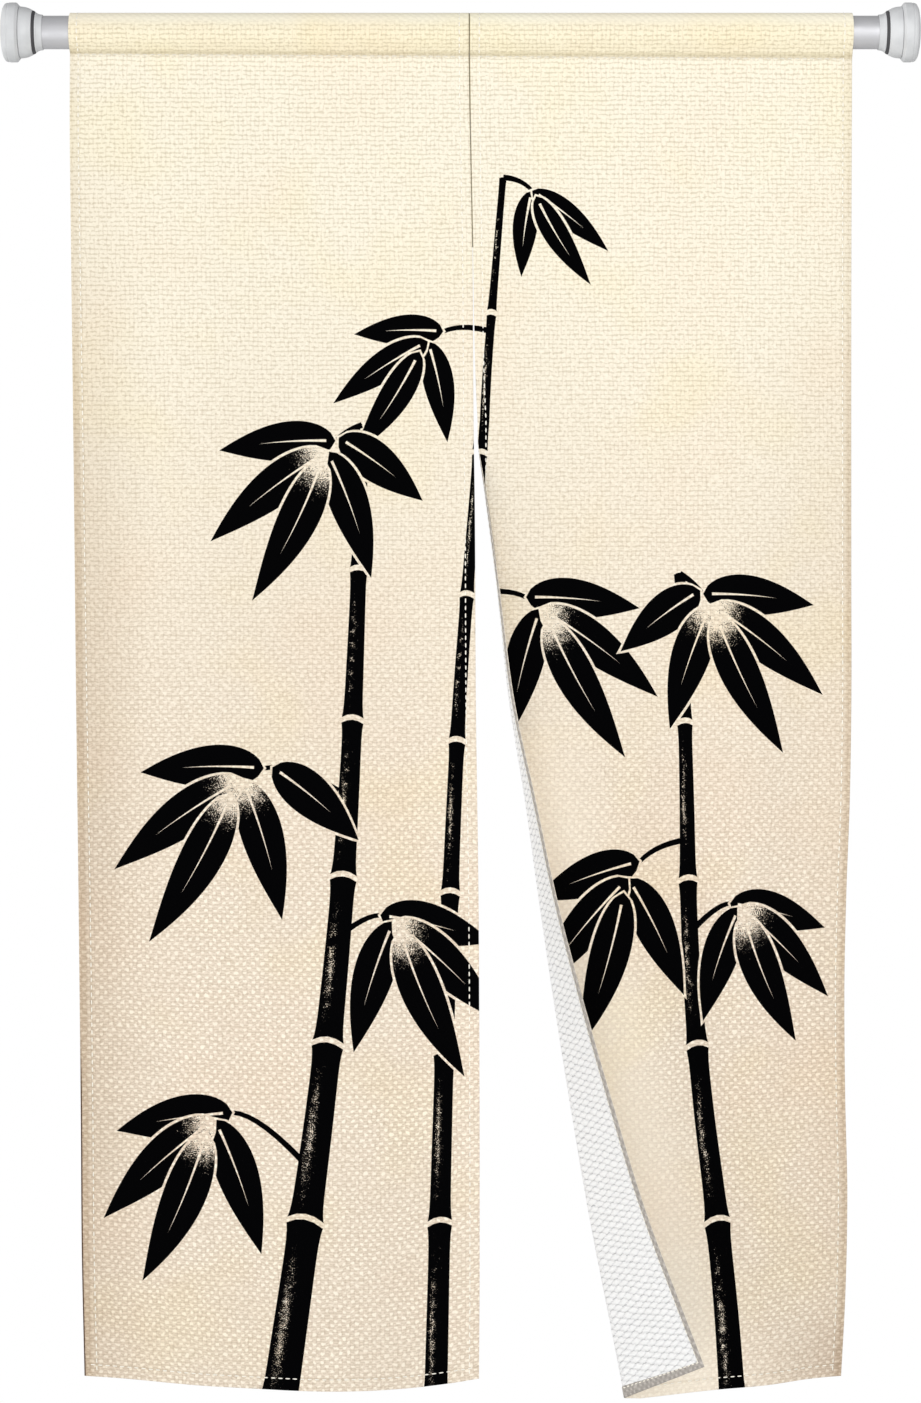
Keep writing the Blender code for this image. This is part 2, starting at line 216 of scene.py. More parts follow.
def read_table(table, column, place):
    """Smooth values of a column at places along the table's first column."""
    places = np.array([row[0] for row in table])
    values = np.array([getattr(row, column) for row in table])
    place = np.clip(place, places[0], places[-1])
    start = np.clip(np.searchsorted(places, place) - 1, 0, len(places) - 2)
    steps = np.diff(values) / np.diff(places)
    near = np.append(steps[0], steps)
    far = np.append(steps, steps[-1])
    slopes = np.where(near * far < 0.0, 0.0, 0.5 * (near + far))
    span = np.diff(places)[start]
    t = (place - places[start]) / span
    return (
        values[start] * (1.0 + 2.0 * t) * (1.0 - t) ** 2
        + values[start + 1] * t * t * (3.0 - 2.0 * t)
        + span * slopes[start] * t * (1.0 - t) ** 2
        - span * slopes[start + 1] * t * t * (1.0 - t)
    )


def seam_drop(x):
    """How far below the rod's axis the pocket is sewn shut."""
    return SEAM_DROP_LEFT + (SEAM_DROP_RIGHT - SEAM_DROP_LEFT) * x / ROD_LENGTH


def middle_drop(edges):
    """The pocket seam's drop at the middle of a panel, which its heights are counted from."""
    return seam_drop(0.5 * (edges[0].outer + edges[0].inner))


def hang_depth(waves, across, below, down):
    """Y of the cloth: nothing at the seam, then the soft waves."""
    depth = np.zeros_like(across)
    for wave in waves:
        sideways = (across - wave.across) / wave.reach_across
        along = (down - wave.down) / wave.reach_down
        depth += wave.forward * np.exp(-sideways ** 2 - along ** 2)
    return -depth * smooth_step(below / SEAM_BLEND)


def hang_height(edges, dips, x, across, below, down):
    """Z of the cloth: the seam's slope dies out downwards, and the lower edge dips."""
    slope = (seam_drop(x) - middle_drop(edges)) * (1.0 - smooth_step(below / LENGTH))
    dip = read_table(dips, "dip", across) * smooth_step(2.0 * below / LENGTH - 1.0)
    return -down - slope - dip


def left_point(across, below):
    """Place of the left panel's cloth below the seam. Across runs from its outer edge to the slit."""
    down = middle_drop(LEFT_EDGES) + below
    outer = read_table(LEFT_EDGES, "outer", down)
    inner = read_table(LEFT_EDGES, "inner", down)
    x = outer + (inner - outer) * across / LEFT_WIDTH
    y = hang_depth(LEFT_WAVES, across, below, down)
    z = hang_height(LEFT_EDGES, LEFT_DIP, x, across, below, down)
    return np.stack((x, y, z), axis=-1)


def beside_fold(down):
    """Seen and flat width of the right panel between its outer edge and its fold."""
    down = np.minimum(down, RIGHT_EDGES[-1].down)
    turn = np.radians(read_table(RIGHT_EDGES, "turn", down))
    bend = np.sin(np.minimum(turn, 0.5 * math.pi))
    inner = read_table(RIGHT_EDGES, "inner", down) + read_table(RIGHT_EDGES, "radius", down) * bend
    span = read_table(RIGHT_EDGES, "outer", down) - inner
    return span, np.minimum(RIGHT_WIDTH, span / FULLNESS)


def right_point(across, below):
    """Place of the right panel's cloth below the seam. Across runs from its outer edge to the slit."""
    down = middle_drop(RIGHT_EDGES) + below
    radius = read_table(RIGHT_EDGES, "radius", down)
    turn = np.radians(read_table(RIGHT_EDGES, "turn", down))
    outer = read_table(RIGHT_EDGES, "outer", down)
    span, start = beside_fold(down)
    inner_near = read_table(RIGHT_EDGES, "inner", down - FOLD_STEP)
    inner_far = read_table(RIGHT_EDGES, "inner", down + FOLD_STEP)
    lean = np.arctan2(inner_far - inner_near, 2.0 * FOLD_STEP)
    cut = np.arctan2(beside_fold(down - FOLD_STEP)[1] - beside_fold(down + FOLD_STEP)[1], 2.0 * FOLD_STEP)

    beside = np.minimum(across, start)
    x = outer - beside * span / start
    y = hang_depth(RIGHT_WAVES, beside, below, down)
    z = hang_height(RIGHT_EDGES, RIGHT_DIP, x, beside, below, down)
    past = np.where(turn > 0.0, across - beside, 0.0)
    along = past * np.sin(cut)
    round_it = past * np.cos(cut)
    angle = np.minimum(turn, round_it / radius)
    straight = np.maximum(0.0, round_it - radius * turn)
    sideways = radius * np.sin(angle) + straight * np.cos(turn)
    forward = radius * (1.0 - np.cos(angle)) + straight * np.sin(turn)
    x = x - along * np.sin(lean) - sideways * np.cos(lean)
    z = z + along * np.cos(lean) - sideways * np.sin(lean)
    return np.stack((x, y - forward, z), axis=-1)


def pocket_point(x, below):
    """Place of the pocket's cloth: up the front from the seam, over the rod, and down to the allowance."""
    drop = seam_drop(x)
    radius = (TUBE_RADIUS + ROD_CLEARANCE) / math.cos(math.pi / POCKET_CHORDS) + 0.5 * SOLID_CLOTH
    leave = np.arccos(radius / drop)
    straight = radius * np.tan(leave)
    arc = radius * (2.0 * math.pi - 2.0 * leave)
    path = -below / POCKET * (2.0 * straight + arc + SEAM_TURN)
    behind = SOLID_CLOTH + ROD_CLEARANCE

    angle = 2.0 * math.pi - leave - np.clip(path - straight, 0.0, arc) / radius
    looseness = POCKET_SLACK * (1.0 - SLACK_CHANGE + SLACK_CHANGE * np.sin(SLACK_WAVES * x))
    ends = smooth_step(SLACK_ENDS * np.minimum(path - straight, straight + arc - path) / arc)
    slack = looseness * ends * np.sin(angle) ** SLACK_POWER
    peak = POCKET_PEAK * np.maximum(0.0, -np.cos(angle)) ** PEAK_POWER
    reach = radius + slack + peak
    y = reach * np.sin(angle)
    z = -reach * np.cos(angle)

    rise = np.clip(path / straight, 0.0, 1.0)
    fall = np.clip((path - straight - arc) / straight, 0.0, 1.0)
    hanging = np.maximum(0.0, path - 2.0 * straight - arc)
    at_front = rise < 1.0
    at_back = fall > 0.0
    side = radius * np.sin(leave)
    low = -radius * np.cos(leave)
    y = np.where(at_back, side + (behind - side) * fall, y)
    z = np.where(at_back, low - (drop + low) * fall - hanging, z)
    y = np.where(at_front, -side * rise, y)
    z = np.where(at_front, -drop + (low + drop) * rise, z)
    return np.stack((x, y, z), axis=-1)


def from_outer(panel, across):
    """Distance from a panel's outer edge."""
    return across if panel.side == "left" else WIDTH - across


def slit_share(panel, below):
    """Width of a panel's slit hem over the width of the other side hems."""
    if panel.side == "left":
        return np.ones_like(below)
    return 1.0 - SLIT_NARROWING * (below + POCKET) / (LENGTH + POCKET)


def outer_share(panel, below):
    """Width of a panel's outer hem over the common width."""
    if panel.side == "right":
        return np.ones_like(below)
    return OUTER_TOP + (OUTER_FOOT - OUTER_TOP) * (below + POCKET) / (LENGTH + POCKET)


def bottom_share(panel, across):
    """Width of a lower hem over its common width."""
    if panel.side == "left":
        return np.ones_like(across)
    return 1.0 - HEM_TAPER * np.clip(1.0 - (across - LEFT_WIDTH) / TAPER_LENGTH, 0.0, 1.0)


def cloth_point(panel, flat):
    """Place of the cloth's middle surface, for places on the flat cloth."""
    below = flat[..., 1]
    hung = panel.hang_at(from_outer(panel, flat[..., 0]), np.maximum(below, 0.0))
    return np.where((below < 0.0)[..., None], pocket_point(hung[..., 0], np.minimum(below, 0.0)), hung)


# Print: a grove of bamboo, painted from back to front

# A shape is ink or bare cloth. Its ink is thinner round its root, or along the sheen of its culm
Shape = namedtuple("Shape", "inked outline root culm", defaults=(None, None))

# A culm runs from its foot to its tip, bows sideways, and is as wide as this at both
Culm = namedtuple("Culm", "foot_across foot_below tip_across tip_below bow foot_width tip_width segments")
CULMS = (
    Culm(0.742, 1.480, 0.668, 0.560, -0.014, 0.034, 0.013, 5),
    Culm(0.392, 1.480, 0.476, 0.130, -0.018, 0.030, 0.008, 8),
    Culm(0.214, 1.480, 0.318, 0.400, 0.022, 0.046, 0.014, 6),
)
CULM_STEPS = 16
JOINT_GAP = 0.0030           # half of the bare ring at a joint
JOINT_RISE = 0.16            # a joint arches up by this share of the culm's width
JOINT_ARCH = ((0.25, 0.75), (0.50, 1.00), (0.75, 0.75))    # shares of the way across and of that rise
SEGMENT_SHRINK = 0.88        # each segment is shorter than the one below by about this power
WAIST = 0.88                 # width of a segment between its joints
FLARE = 0.15
FLARE_REACH = 0.05

# A spray: where its twig leaves the culm, its tip, its tip's heading in degrees from straight down, and its
# leaves: how many, how far the side leaves spread, length and width, which side comes first, and how many of
# the leaves, from the tip, have thin ink at their roots
Spray = namedtuple(
    "Spray", "root_across root_below across below heading leaves spread length width first thin"
)
SPRAYS = (
    Spray(0.476, 0.132, 0.512, 0.152, 32.0, 3, 40.0, 0.112, 0.028, 1, 0),
    Spray(0.462, 0.300, 0.382, 0.322, -34.0, 4, 44.0, 0.132, 0.034, -1, 0),
    Spray(0.318, 0.402, 0.274, 0.440, -26.0, 5, 46.0, 0.172, 0.044, -1, 2),
    Spray(0.442, 0.585, 0.520, 0.612, 30.0, 4, 44.0, 0.172, 0.044, 1, 2),
    Spray(0.668, 0.562, 0.708, 0.606, 26.0, 5, 46.0, 0.168, 0.044, 1, 3),
    Spray(0.288, 0.800, 0.170, 0.804, -30.0, 5, 46.0, 0.184, 0.047, -1, 3),
    Spray(0.276, 0.965, 0.354, 0.950, 22.0, 4, 42.0, 0.172, 0.045, 1, 2),
    Spray(0.678, 0.850, 0.610, 0.905, -12.0, 4, 44.0, 0.166, 0.044, -1, 0),
    Spray(0.690, 0.945, 0.746, 0.930, 22.0, 4, 42.0, 0.150, 0.042, 1, 2),
    Spray(0.244, 1.190, 0.140, 1.165, -22.0, 4, 44.0, 0.178, 0.047, -1, 2),
)
HALO = 0.0028                # bare margin round a shape that lies over another
TWIG = 0.0066
TWIG_TAPER = 0.45
TWIG_CURVE = 0.55            # share of its length over which a twig bends to its heading
TWIG_STEPS = 12
LEAF_PLACES = (1.0, 0.86, 0.80, 0.58, 0.50)    # where along the twig each leaf grows
LEAF_SPREADS = (0.0, 0.85, 1.0, 1.55, 1.75)
LEAF_SHARES = (1.0, 0.94, 0.84, 0.74, 0.66)
LEAF_STEPS = 24
LEAF_BEND = 0.12             # a leaf's tip bends aside by this share of its length
LEAF_DROOP = 0.78            # leaves turn towards straight down
SWELL = 0.62                 # powers of a leaf's outline: how soon it swells, and how long its tip is
TAPER = 1.05
RIB = 0.0015                 # half width of the bare midrib at its root
RIB_START = 0.08
RIB_LENGTH = 0.58

# Airbrushed ink: thinner within this reach of a leaf's root, and down the left side of each culm's segment.
# The places of the sheen are shares of the culm's half width
ROOT_REACH = 0.052
ROOT_FADE = 0.95
SHEEN_MIDDLE = -0.38
SHEEN_REACH = 0.50
SHEEN_FADE = 0.60
SHEEN_COLUMNS = (-0.84, -0.61, -0.38, -0.15, 0.08, 0.40)


def leaf_width(share):
    """Share of a leaf's width at a place along it: a quick swell, then a long drawn-out tip."""
    widest = SWELL / (SWELL + TAPER)
    return share ** SWELL * (1.0 - share) ** TAPER / (widest ** SWELL * (1.0 - widest) ** TAPER)


def turned(points, across, below, heading):
    """Places a shape that is drawn pointing straight down: turned to a heading, and moved."""
    sine, cosine = math.sin(math.radians(heading)), math.cos(math.radians(heading))
    return [(across + x * cosine + y * sine, below - x * sine + y * cosine) for x, y in points]


def spine_outline(spine, halves, tip):
    """Outline round a spine of points that ends in a tip, from its half width at each point."""
    one_side = [(x + half, y) for (x, y), half in zip(spine, halves)]
    other_side = [(x - half, y) for (x, y), half in zip(spine, halves)]
    return [*one_side, tip, *reversed(other_side)]


def leaf_outline(length, width, bend, margin):
    """Outline of one leaf from its root, with a margin round it."""
    shares = [k / LEAF_STEPS for k in range(1, LEAF_STEPS)]
    spine = [(bend * length * share * share, length * share) for share in shares]
    halves = [0.5 * width * leaf_width(share) + margin for share in shares]
    return [(0.0, -margin), *spine_outline(spine, halves, (bend * length, length + 2.0 * margin))]


def rib_outline(length, bend):
    """Outline of a leaf's bare midrib: a long wedge."""
    shares = [RIB_START + RIB_LENGTH * k / LEAF_STEPS for k in range(LEAF_STEPS + 1)]
    *spine, tip = [(bend * length * share * share, length * share) for share in shares]
    halves = [RIB * (1.0 - k / LEAF_STEPS) for k in range(LEAF_STEPS)]
    return spine_outline(spine, halves, tip)


def between(start, end, share):
    """A place on the line between two places."""
    return tuple(s + (e - s) * share for s, e in zip(start, end))


def curve_place(start, control, end, t):
    """A place on the curve from start to end that heads for a control point on the way."""
    weights = (1.0 - t) ** 2, 2.0 * t * (1.0 - t), t * t
    return tuple(weights[0] * s + weights[1] * c + weights[2] * e for s, c, e in zip(start, control, end))


def sideways_of(points, k):
    """Unit direction to the left of a line at one of its points."""
    before, after = points[max(0, k - 1)], points[min(len(points) - 1, k + 1)]
    long = math.dist(before, after)
    return -(after[1] - before[1]) / long, (after[0] - before[0]) / long


def beside_line(points, offsets):
    """The points of a line, each moved aside by its own distance."""
    moved = []
    for k, ((x, y), offset) in enumerate(zip(points, offsets)):
        side = sideways_of(points, k)
        moved.append((x + offset * side[0], y + offset * side[1]))
    return moved


def stroke_outline(points, widths):
    """Outline of a line that has a width at each of its points."""
    one_side = beside_line(points, [0.5 * width for width in widths])
    other_side = beside_line(points, [-0.5 * width for width in widths])
    return [*one_side, *reversed(other_side)]


def segment_ends(culm, segment):
    """Where a culm's segment starts and ends, as shares of the way up the culm."""
    gap = JOINT_GAP / (culm.foot_below - culm.tip_below)
    start = (segment / culm.segments) ** SEGMENT_SHRINK + gap
    return start, ((segment + 1) / culm.segments) ** SEGMENT_SHRINK - gap


def segment_line(culm, segment):
    """A culm's segment: points of its middle line from its lower joint, and the width at each."""
    start, end = segment_ends(culm, segment)
    points, widths = [], []
    for k in range(CULM_STEPS + 1):
        share = 0.5 - 0.5 * math.cos(math.pi * k / CULM_STEPS)
        place = start + (end - start) * share
        across = culm.foot_across + (culm.tip_across - culm.foot_across) * place
        below = culm.foot_below + (culm.tip_below - culm.foot_below) * place
        points.append((across + culm.bow * math.sin(math.pi * place), below))
        flare = FLARE * (math.exp(-share / FLARE_REACH) + math.exp(-(1.0 - share) / FLARE_REACH))
        widths.append((culm.foot_width + (culm.tip_width - culm.foot_width) * place) * (WAIST + flare))
    return points, widths


def joint_arch(start, end, width):
    """Points of the arched line across a culm at a joint."""
    arch = []
    for share, height in JOINT_ARCH:
        x, y = between(start, end, share)
        arch.append((x, y - JOINT_RISE * width * height))
    return arch


def culm_shapes(culm):
    """A culm's segments, each with a bare margin."""
    shapes = []
    for segment in range(culm.segments):
        points, widths = segment_line(culm, segment)
        for is_inked, margin in ((False, HALO), (True, 0.0)):
            one_side = beside_line(points, [0.5 * width + margin for width in widths])
            other_side = beside_line(points, [-0.5 * width - margin for width in widths])
            top, foot = (joint_arch(one_side[k], other_side[k], widths[k]) for k in (-1, 0))
            outline = [*one_side, *top, *reversed(other_side), *reversed(foot)]
            shapes.append(Shape(is_inked, outline, culm=(culm, segment)))
    return shapes


def twig_line(spray):
    """Points of the twig from the culm to its tip: it leaves sideways and ends at its heading."""
    root, tip = (spray.root_across, spray.root_below), (spray.across, spray.below)
    reach = TWIG_CURVE * math.dist(root, tip)
    heading = math.radians(spray.heading)
    control = (tip[0] - reach * math.sin(heading), tip[1] - reach * math.cos(heading))
    return [curve_place(root, control, tip, k / TWIG_STEPS) for k in range(TWIG_STEPS + 1)]


def spray_shapes(spray):
    """A twig and its leaves, from the culm to the tip."""
    line = twig_line(spray)
    widths = [TWIG * (1.0 - TWIG_TAPER * k / TWIG_STEPS) for k in range(TWIG_STEPS + 1)]
    shapes = [Shape(True, stroke_outline(line, widths))]
    for k in reversed(range(spray.leaves)):
        side = spray.first * (1 if k % 2 else -1)
        root = line[round(LEAF_PLACES[k] * TWIG_STEPS)]
        heading = LEAF_DROOP * spray.heading + side * spray.spread * LEAF_SPREADS[k]
        length = spray.length * LEAF_SHARES[k]
        bend = -side * LEAF_BEND
        for is_inked, outline in (
            (False, leaf_outline(length, spray.width, bend, HALO)),
            (True, leaf_outline(length, spray.width, bend, 0.0)),
            (False, rib_outline(length, bend)),
        ):
            thin_root = root if k < spray.thin else None
            shapes.append(Shape(is_inked, turned(outline, *root, heading), root=thin_root))
    return shapes


def print_shapes():
    """All shapes of the print, in the order in which they are painted."""
    shapes = []
    for culm in CULMS:
        shapes += culm_shapes(culm)
    for spray in SPRAYS:
        shapes += spray_shapes(spray)
    return shapes


def inside(points, outline):
    """Which points lie inside an outline."""
    x, y = points[:, 0], points[:, 1]
    found = np.zeros(len(points), bool)
    for (x0, y0), (x1, y1) in zip(outline, [*outline[1:], outline[0]]):
        if y0 == y1:
            continue
        crosses = (y0 > y) != (y1 > y)
        found ^= crosses & (x < x0 + (y - y0) * (x1 - x0) / (y1 - y0))
    return found


def covering(points, shapes):
    """The last shape that covers each point, or -1."""
    last = np.full(len(points), -1)
    for index, shape in enumerate(shapes):
        low = np.min(shape.outline, axis=0)
        high = np.max(shape.outline, axis=0)
        near = np.nonzero(np.all((points >= low) & (points <= high), axis=1))[0]
        last[near[inside(points[near], shape.outline)]] = index
    return last


def thinness(shape, points):
    """How far a shape's ink has thinned out at points: 1 where it is bare, 0 where it is solid."""
    if shape.root:
        distance = np.hypot(points[:, 0] - shape.root[0], points[:, 1] - shape.root[1])
        return ROOT_FADE * np.maximum(0.0, 1.0 - distance / ROOT_REACH)
    culm, segment = shape.culm
    place = (culm.foot_below - points[:, 1]) / (culm.foot_below - culm.tip_below)
    middle = culm.foot_across + (culm.tip_across - culm.foot_across) * place
    middle = middle + culm.bow * np.sin(math.pi * place)
    half = 0.5 * (culm.foot_width + (culm.tip_width - culm.foot_width) * place)
    off = np.abs((points[:, 0] - middle) / half - SHEEN_MIDDLE)
    start, end = segment_ends(culm, segment)
    along = np.clip((place - start) / (end - start), 0.0, 1.0)
    return SHEEN_FADE * np.maximum(0.0, 1.0 - off / SHEEN_REACH) * np.sin(math.pi * along)


def sheen_points():
    """Points across the culms, so that their airbrushed sheen has a fine enough mesh."""
    points = []
    for culm in CULMS:
        for segment in range(culm.segments):
            line, widths = segment_line(culm, segment)
            for share in SHEEN_COLUMNS:
                points += beside_line(line, [0.5 * share * width for width in widths])
    return np.array(points)


# Pieces

def make_object(name, points, faces, materials):
    """A smooth mesh piece that rides on the curtain."""
    mesh = bpy.data.meshes.new(name)
    mesh.from_pydata(np.asarray(points).tolist(), [], faces)
    for material in materials:
        mesh.materials.append(material)
    mesh.shade_smooth()
    piece = bpy.data.objects.new(name, mesh)
    bpy.context.scene.collection.objects.link(piece)
    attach(piece, "root")
    return piece


# Sheets of cloth

def left_columns(below):
    """Places of the left panel's columns, from its outer edge to the slit."""
    widened = float(outer_share(LEFT, np.array(below)))
    hem = [step * widened for step in EDGE_STEPS]
    open_width = LEFT_WIDTH - EDGE_STEPS[-1] - hem[-1]
    count = math.ceil(open_width / STEP)
    body = [hem[-1] + open_width * k / count for k in range(1, count)]
    return [*hem, *body, *(LEFT_WIDTH - step for step in reversed(EDGE_STEPS))]


def right_columns(below):
    """Places of the right panel's columns from its outer edge: they follow the fold down the cloth."""
    down = middle_drop(RIGHT_EDGES) + below
    start = min(float(beside_fold(down)[1]), RIGHT_WIDTH - FOLD_ROOM)
    turn = math.radians(float(read_table(RIGHT_EDGES, "turn", down)))
    curl = min(max(float(read_table(RIGHT_EDGES, "radius", down)) * turn, LEAST_CURL), MOST_CURL)
    first, last = EDGE_STEPS[-1], RIGHT_WIDTH - EDGE_STEPS[-1]
    body_count = math.ceil((start - first) / STEP)
    flap_count = max(1, math.ceil((last - start - curl) / FLAP_STEP))
    body = [first + (start - first) * k / body_count for k in range(1, body_count + 1)]
    round_it = [start + curl * k / CURL_STEPS for k in range(1, CURL_STEPS + 1)]
    flap = [start + curl + (last - start - curl) * k / flap_count for k in range(1, flap_count)]
    narrowed = float(slit_share(RIGHT, np.array(below)))
    hem = [RIGHT_WIDTH - step * narrowed for step in reversed(EDGE_STEPS)]
    return [*EDGE_STEPS, *body, *round_it, *flap, *hem]


def row_places():
    """Places of the rows, from the end of the pocket's allowance to the lower edge."""
    pocket_count = math.ceil(POCKET / POCKET_STEP)
    pocket = [-POCKET + POCKET * k / pocket_count for k in range(pocket_count)]
    open_length = LENGTH - BOTTOM_STEPS[-1]
    count = math.ceil(open_length / STEP)
    hanging = [open_length * k / count for k in range(count)]
    return [*pocket, *hanging, *(LENGTH - step for step in reversed(BOTTOM_STEPS))]


Panel = namedtuple("Panel", "side low high hang_at columns_at")
LEFT = Panel("left", 0.0, LEFT_WIDTH, left_point, left_columns)
RIGHT = Panel("right", LEFT_WIDTH, WIDTH, right_point, right_columns)


def flat_grid(panel):
    """Points of a sheet's grid on the flat cloth."""
    points = []
    for below in row_places():
        columns = np.array(panel.columns_at(max(0.0, below)))
        points += [(across, below) for across in from_outer(panel, columns)]
    return np.array(points)


def clear_of(panel, points, outlines):
    """The points that keep clear of the print's outlines, and those at the hems and edges."""
    tree = KDTree(sum(len(outline) for outline in outlines))
    for index, place in enumerate(place for outline in outlines for place in outline):
        tree.insert((*place, 0.0), index)
    tree.balance()
    side = np.minimum(points[:, 0] - panel.low, panel.high - points[:, 0]) <= EDGE_STEPS[-1] + ROUNDING
    bottom = LENGTH - points[:, 1] <= BOTTOM_STEPS[-1] + ROUNDING
    free = [tree.find((*place, 0.0))[2] > CLEAR_OF_PRINT for place in points]
    return points[side | bottom | free]


def clipped(panel, outline):
    """An outline, cut to the panel."""
    for limit, keep_greater in ((panel.low, True), (panel.high, False)):
        kept = []
        for here, after in zip(outline, [*outline[1:], *outline[:1]]):
            here_in = here[0] > limit if keep_greater else here[0] < limit
            after_in = after[0] > limit if keep_greater else after[0] < limit
            if here_in:
                kept.append(here)
            if here_in != after_in:
                t = (limit - here[0]) / (after[0] - here[0])
                kept.append((limit, here[1] + (after[1] - here[1]) * t))
        outline = kept
    return [(across, min(below, LENGTH)) for across, below in outline]


def flat_mesh(panel, shapes):
    """Triangles of the flat cloth, cut along the print: points, triangles and the shape that covers each."""
    outlines = [clipped(panel, shape.outline) for shape in shapes]
    outlines = [outline for outline in outlines if len(outline) > 2]
    inner = sheen_points()
    inner = inner[(inner[:, 0] > panel.low + CLEAR_OF_PRINT) & (inner[:, 0] < panel.high - CLEAR_OF_PRINT)]
    inner = inner[inner[:, 1] < LENGTH - CLEAR_OF_PRINT]
    grid = clear_of(panel, flat_grid(panel), [*outlines, inner.tolist()])
    points = [Vector((across, -below)) for across, below in [*grid, *inner]]
    edges = []
    for outline in outlines:
        first = len(points)
        points += [Vector((across, -below)) for across, below in outline]
        edges += [(first + k, first + (k + 1) % len(outline)) for k in range(len(outline))]
    cut = delaunay_2d_cdt(points, edges, [], 0, ROUNDING, False)
    flat = np.array([(point.x, -point.y) for point in cut[0]])
    triangles = np.array(cut[2])
    return flat, triangles, covering(flat[triangles].mean(axis=1), shapes)


def point_normals(points, triangles):
    """Normals of a mesh at its points."""
    corners = points[triangles]
    faces = np.cross(corners[:, 1] - corners[:, 0], corners[:, 2] - corners[:, 0])
    normals = np.zeros_like(points)
    for corner in range(3):
        np.add.at(normals, triangles[:, corner], faces)
    return unit(normals)


def cloth_sides(panel, flat):
    """How far the front and the back of the cloth stand off its middle surface."""
    across, below = flat[..., 0], flat[..., 1]
    outer = from_outer(panel, across)
    slit = np.abs(LEFT_WIDTH - across)
    bottom = LENGTH - below
    rounding = 1.0 - np.clip(np.minimum(np.minimum(outer, slit), bottom) / NOSE, 0.0, 1.0)
    nose = NOSE_LEAST + (1.0 - NOSE_LEAST) * np.sqrt(1.0 - rounding ** 2)
    widened = outer_share(panel, below)
    narrowed = slit_share(panel, below)
    tapered = bottom_share(panel, across)
    in_side = smooth_step((HEM - np.minimum(outer / widened, slit / narrowed)) / HEM_STEP + 0.5)
    in_bottom = smooth_step((BOTTOM_HEM - bottom / tapered) / HEM_STEP + 0.5)
    hem = np.maximum(in_side, in_bottom) * smooth_step(below / HEM_STEP)
    groove = np.zeros_like(bottom)
    for distance, line in (
        (outer, SIDE_STITCH * widened),
        (slit, SLIT_STITCH * narrowed),
        (bottom, BOTTOM_STITCH * tapered),
    ):
        groove += STITCH_GROOVE * np.exp(-((distance - line) / GROOVE_REACH) ** 2)
    front = 0.5 * CLOTH * nose - groove
    back = (0.5 * CLOTH + HEM_LAYER * hem) * nose - groove
    return front, back


def outline_edges(triangles):
    """Edges that only one triangle has, in its own direction."""
    edges = np.concatenate([triangles[:, (0, 1)], triangles[:, (1, 2)], triangles[:, (2, 0)]])
    size = int(edges.max()) + 1
    ahead = edges[:, 0] * size + edges[:, 1]
    against = edges[:, 1] * size + edges[:, 0]
    return edges[~np.isin(ahead, against)]


GROUND_SLOT, INK_SLOT, BACK_SLOT, EDGE_SLOT = range(4)


def make_sheet(panel, shapes, materials):
    """One panel's cloth: front and back surfaces, and the edge between them."""
    flat, triangles, covered = flat_mesh(panel, shapes)
    middle = cloth_point(panel, flat)
    normals = point_normals(middle, triangles)
    front, back = cloth_sides(panel, flat)
    points = np.concatenate([middle + normals * front[:, None], middle - normals * back[:, None]])
    count = len(middle)
    rim = [(b, a, a + count, b + count) for a, b in outline_edges(triangles).tolist()]
    behind = (triangles[:, ::-1] + count).tolist()
    sheet = make_object(f"{panel.side}_panel_cloth", points, [*triangles.tolist(), *behind, *rim], materials)
    in_front = [INK_SLOT if k >= 0 and shapes[k].inked else GROUND_SLOT for k in covered]
    slots = [*in_front, *([BACK_SLOT] * len(behind)), *([EDGE_SLOT] * len(rim))]
    sheet.data.polygons.foreach_set("material_index", slots)
    places = np.zeros((2 * count, 3))
    places[:, :2] = np.concatenate([flat, flat])
    sheet.data.attributes.new("flat", "FLOAT_VECTOR", "POINT").data.foreach_set("vector", places.ravel())
    thin = np.zeros(len(sheet.data.loops))
    for k in np.unique(covered[covered >= 0]):
        if shapes[k].root or shapes[k].culm:
            faces = np.nonzero(covered == k)[0]
            corners = (3 * faces[:, None] + np.arange(3)).ravel()
            thin[corners] = thinness(shapes[k], flat[triangles[faces].ravel()])
    sheet.data.attributes.new("thin", "FLOAT", "CORNER").data.foreach_set("value", thin)
    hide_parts(f"panel_{panel.side}")
    return sheet


# Materials

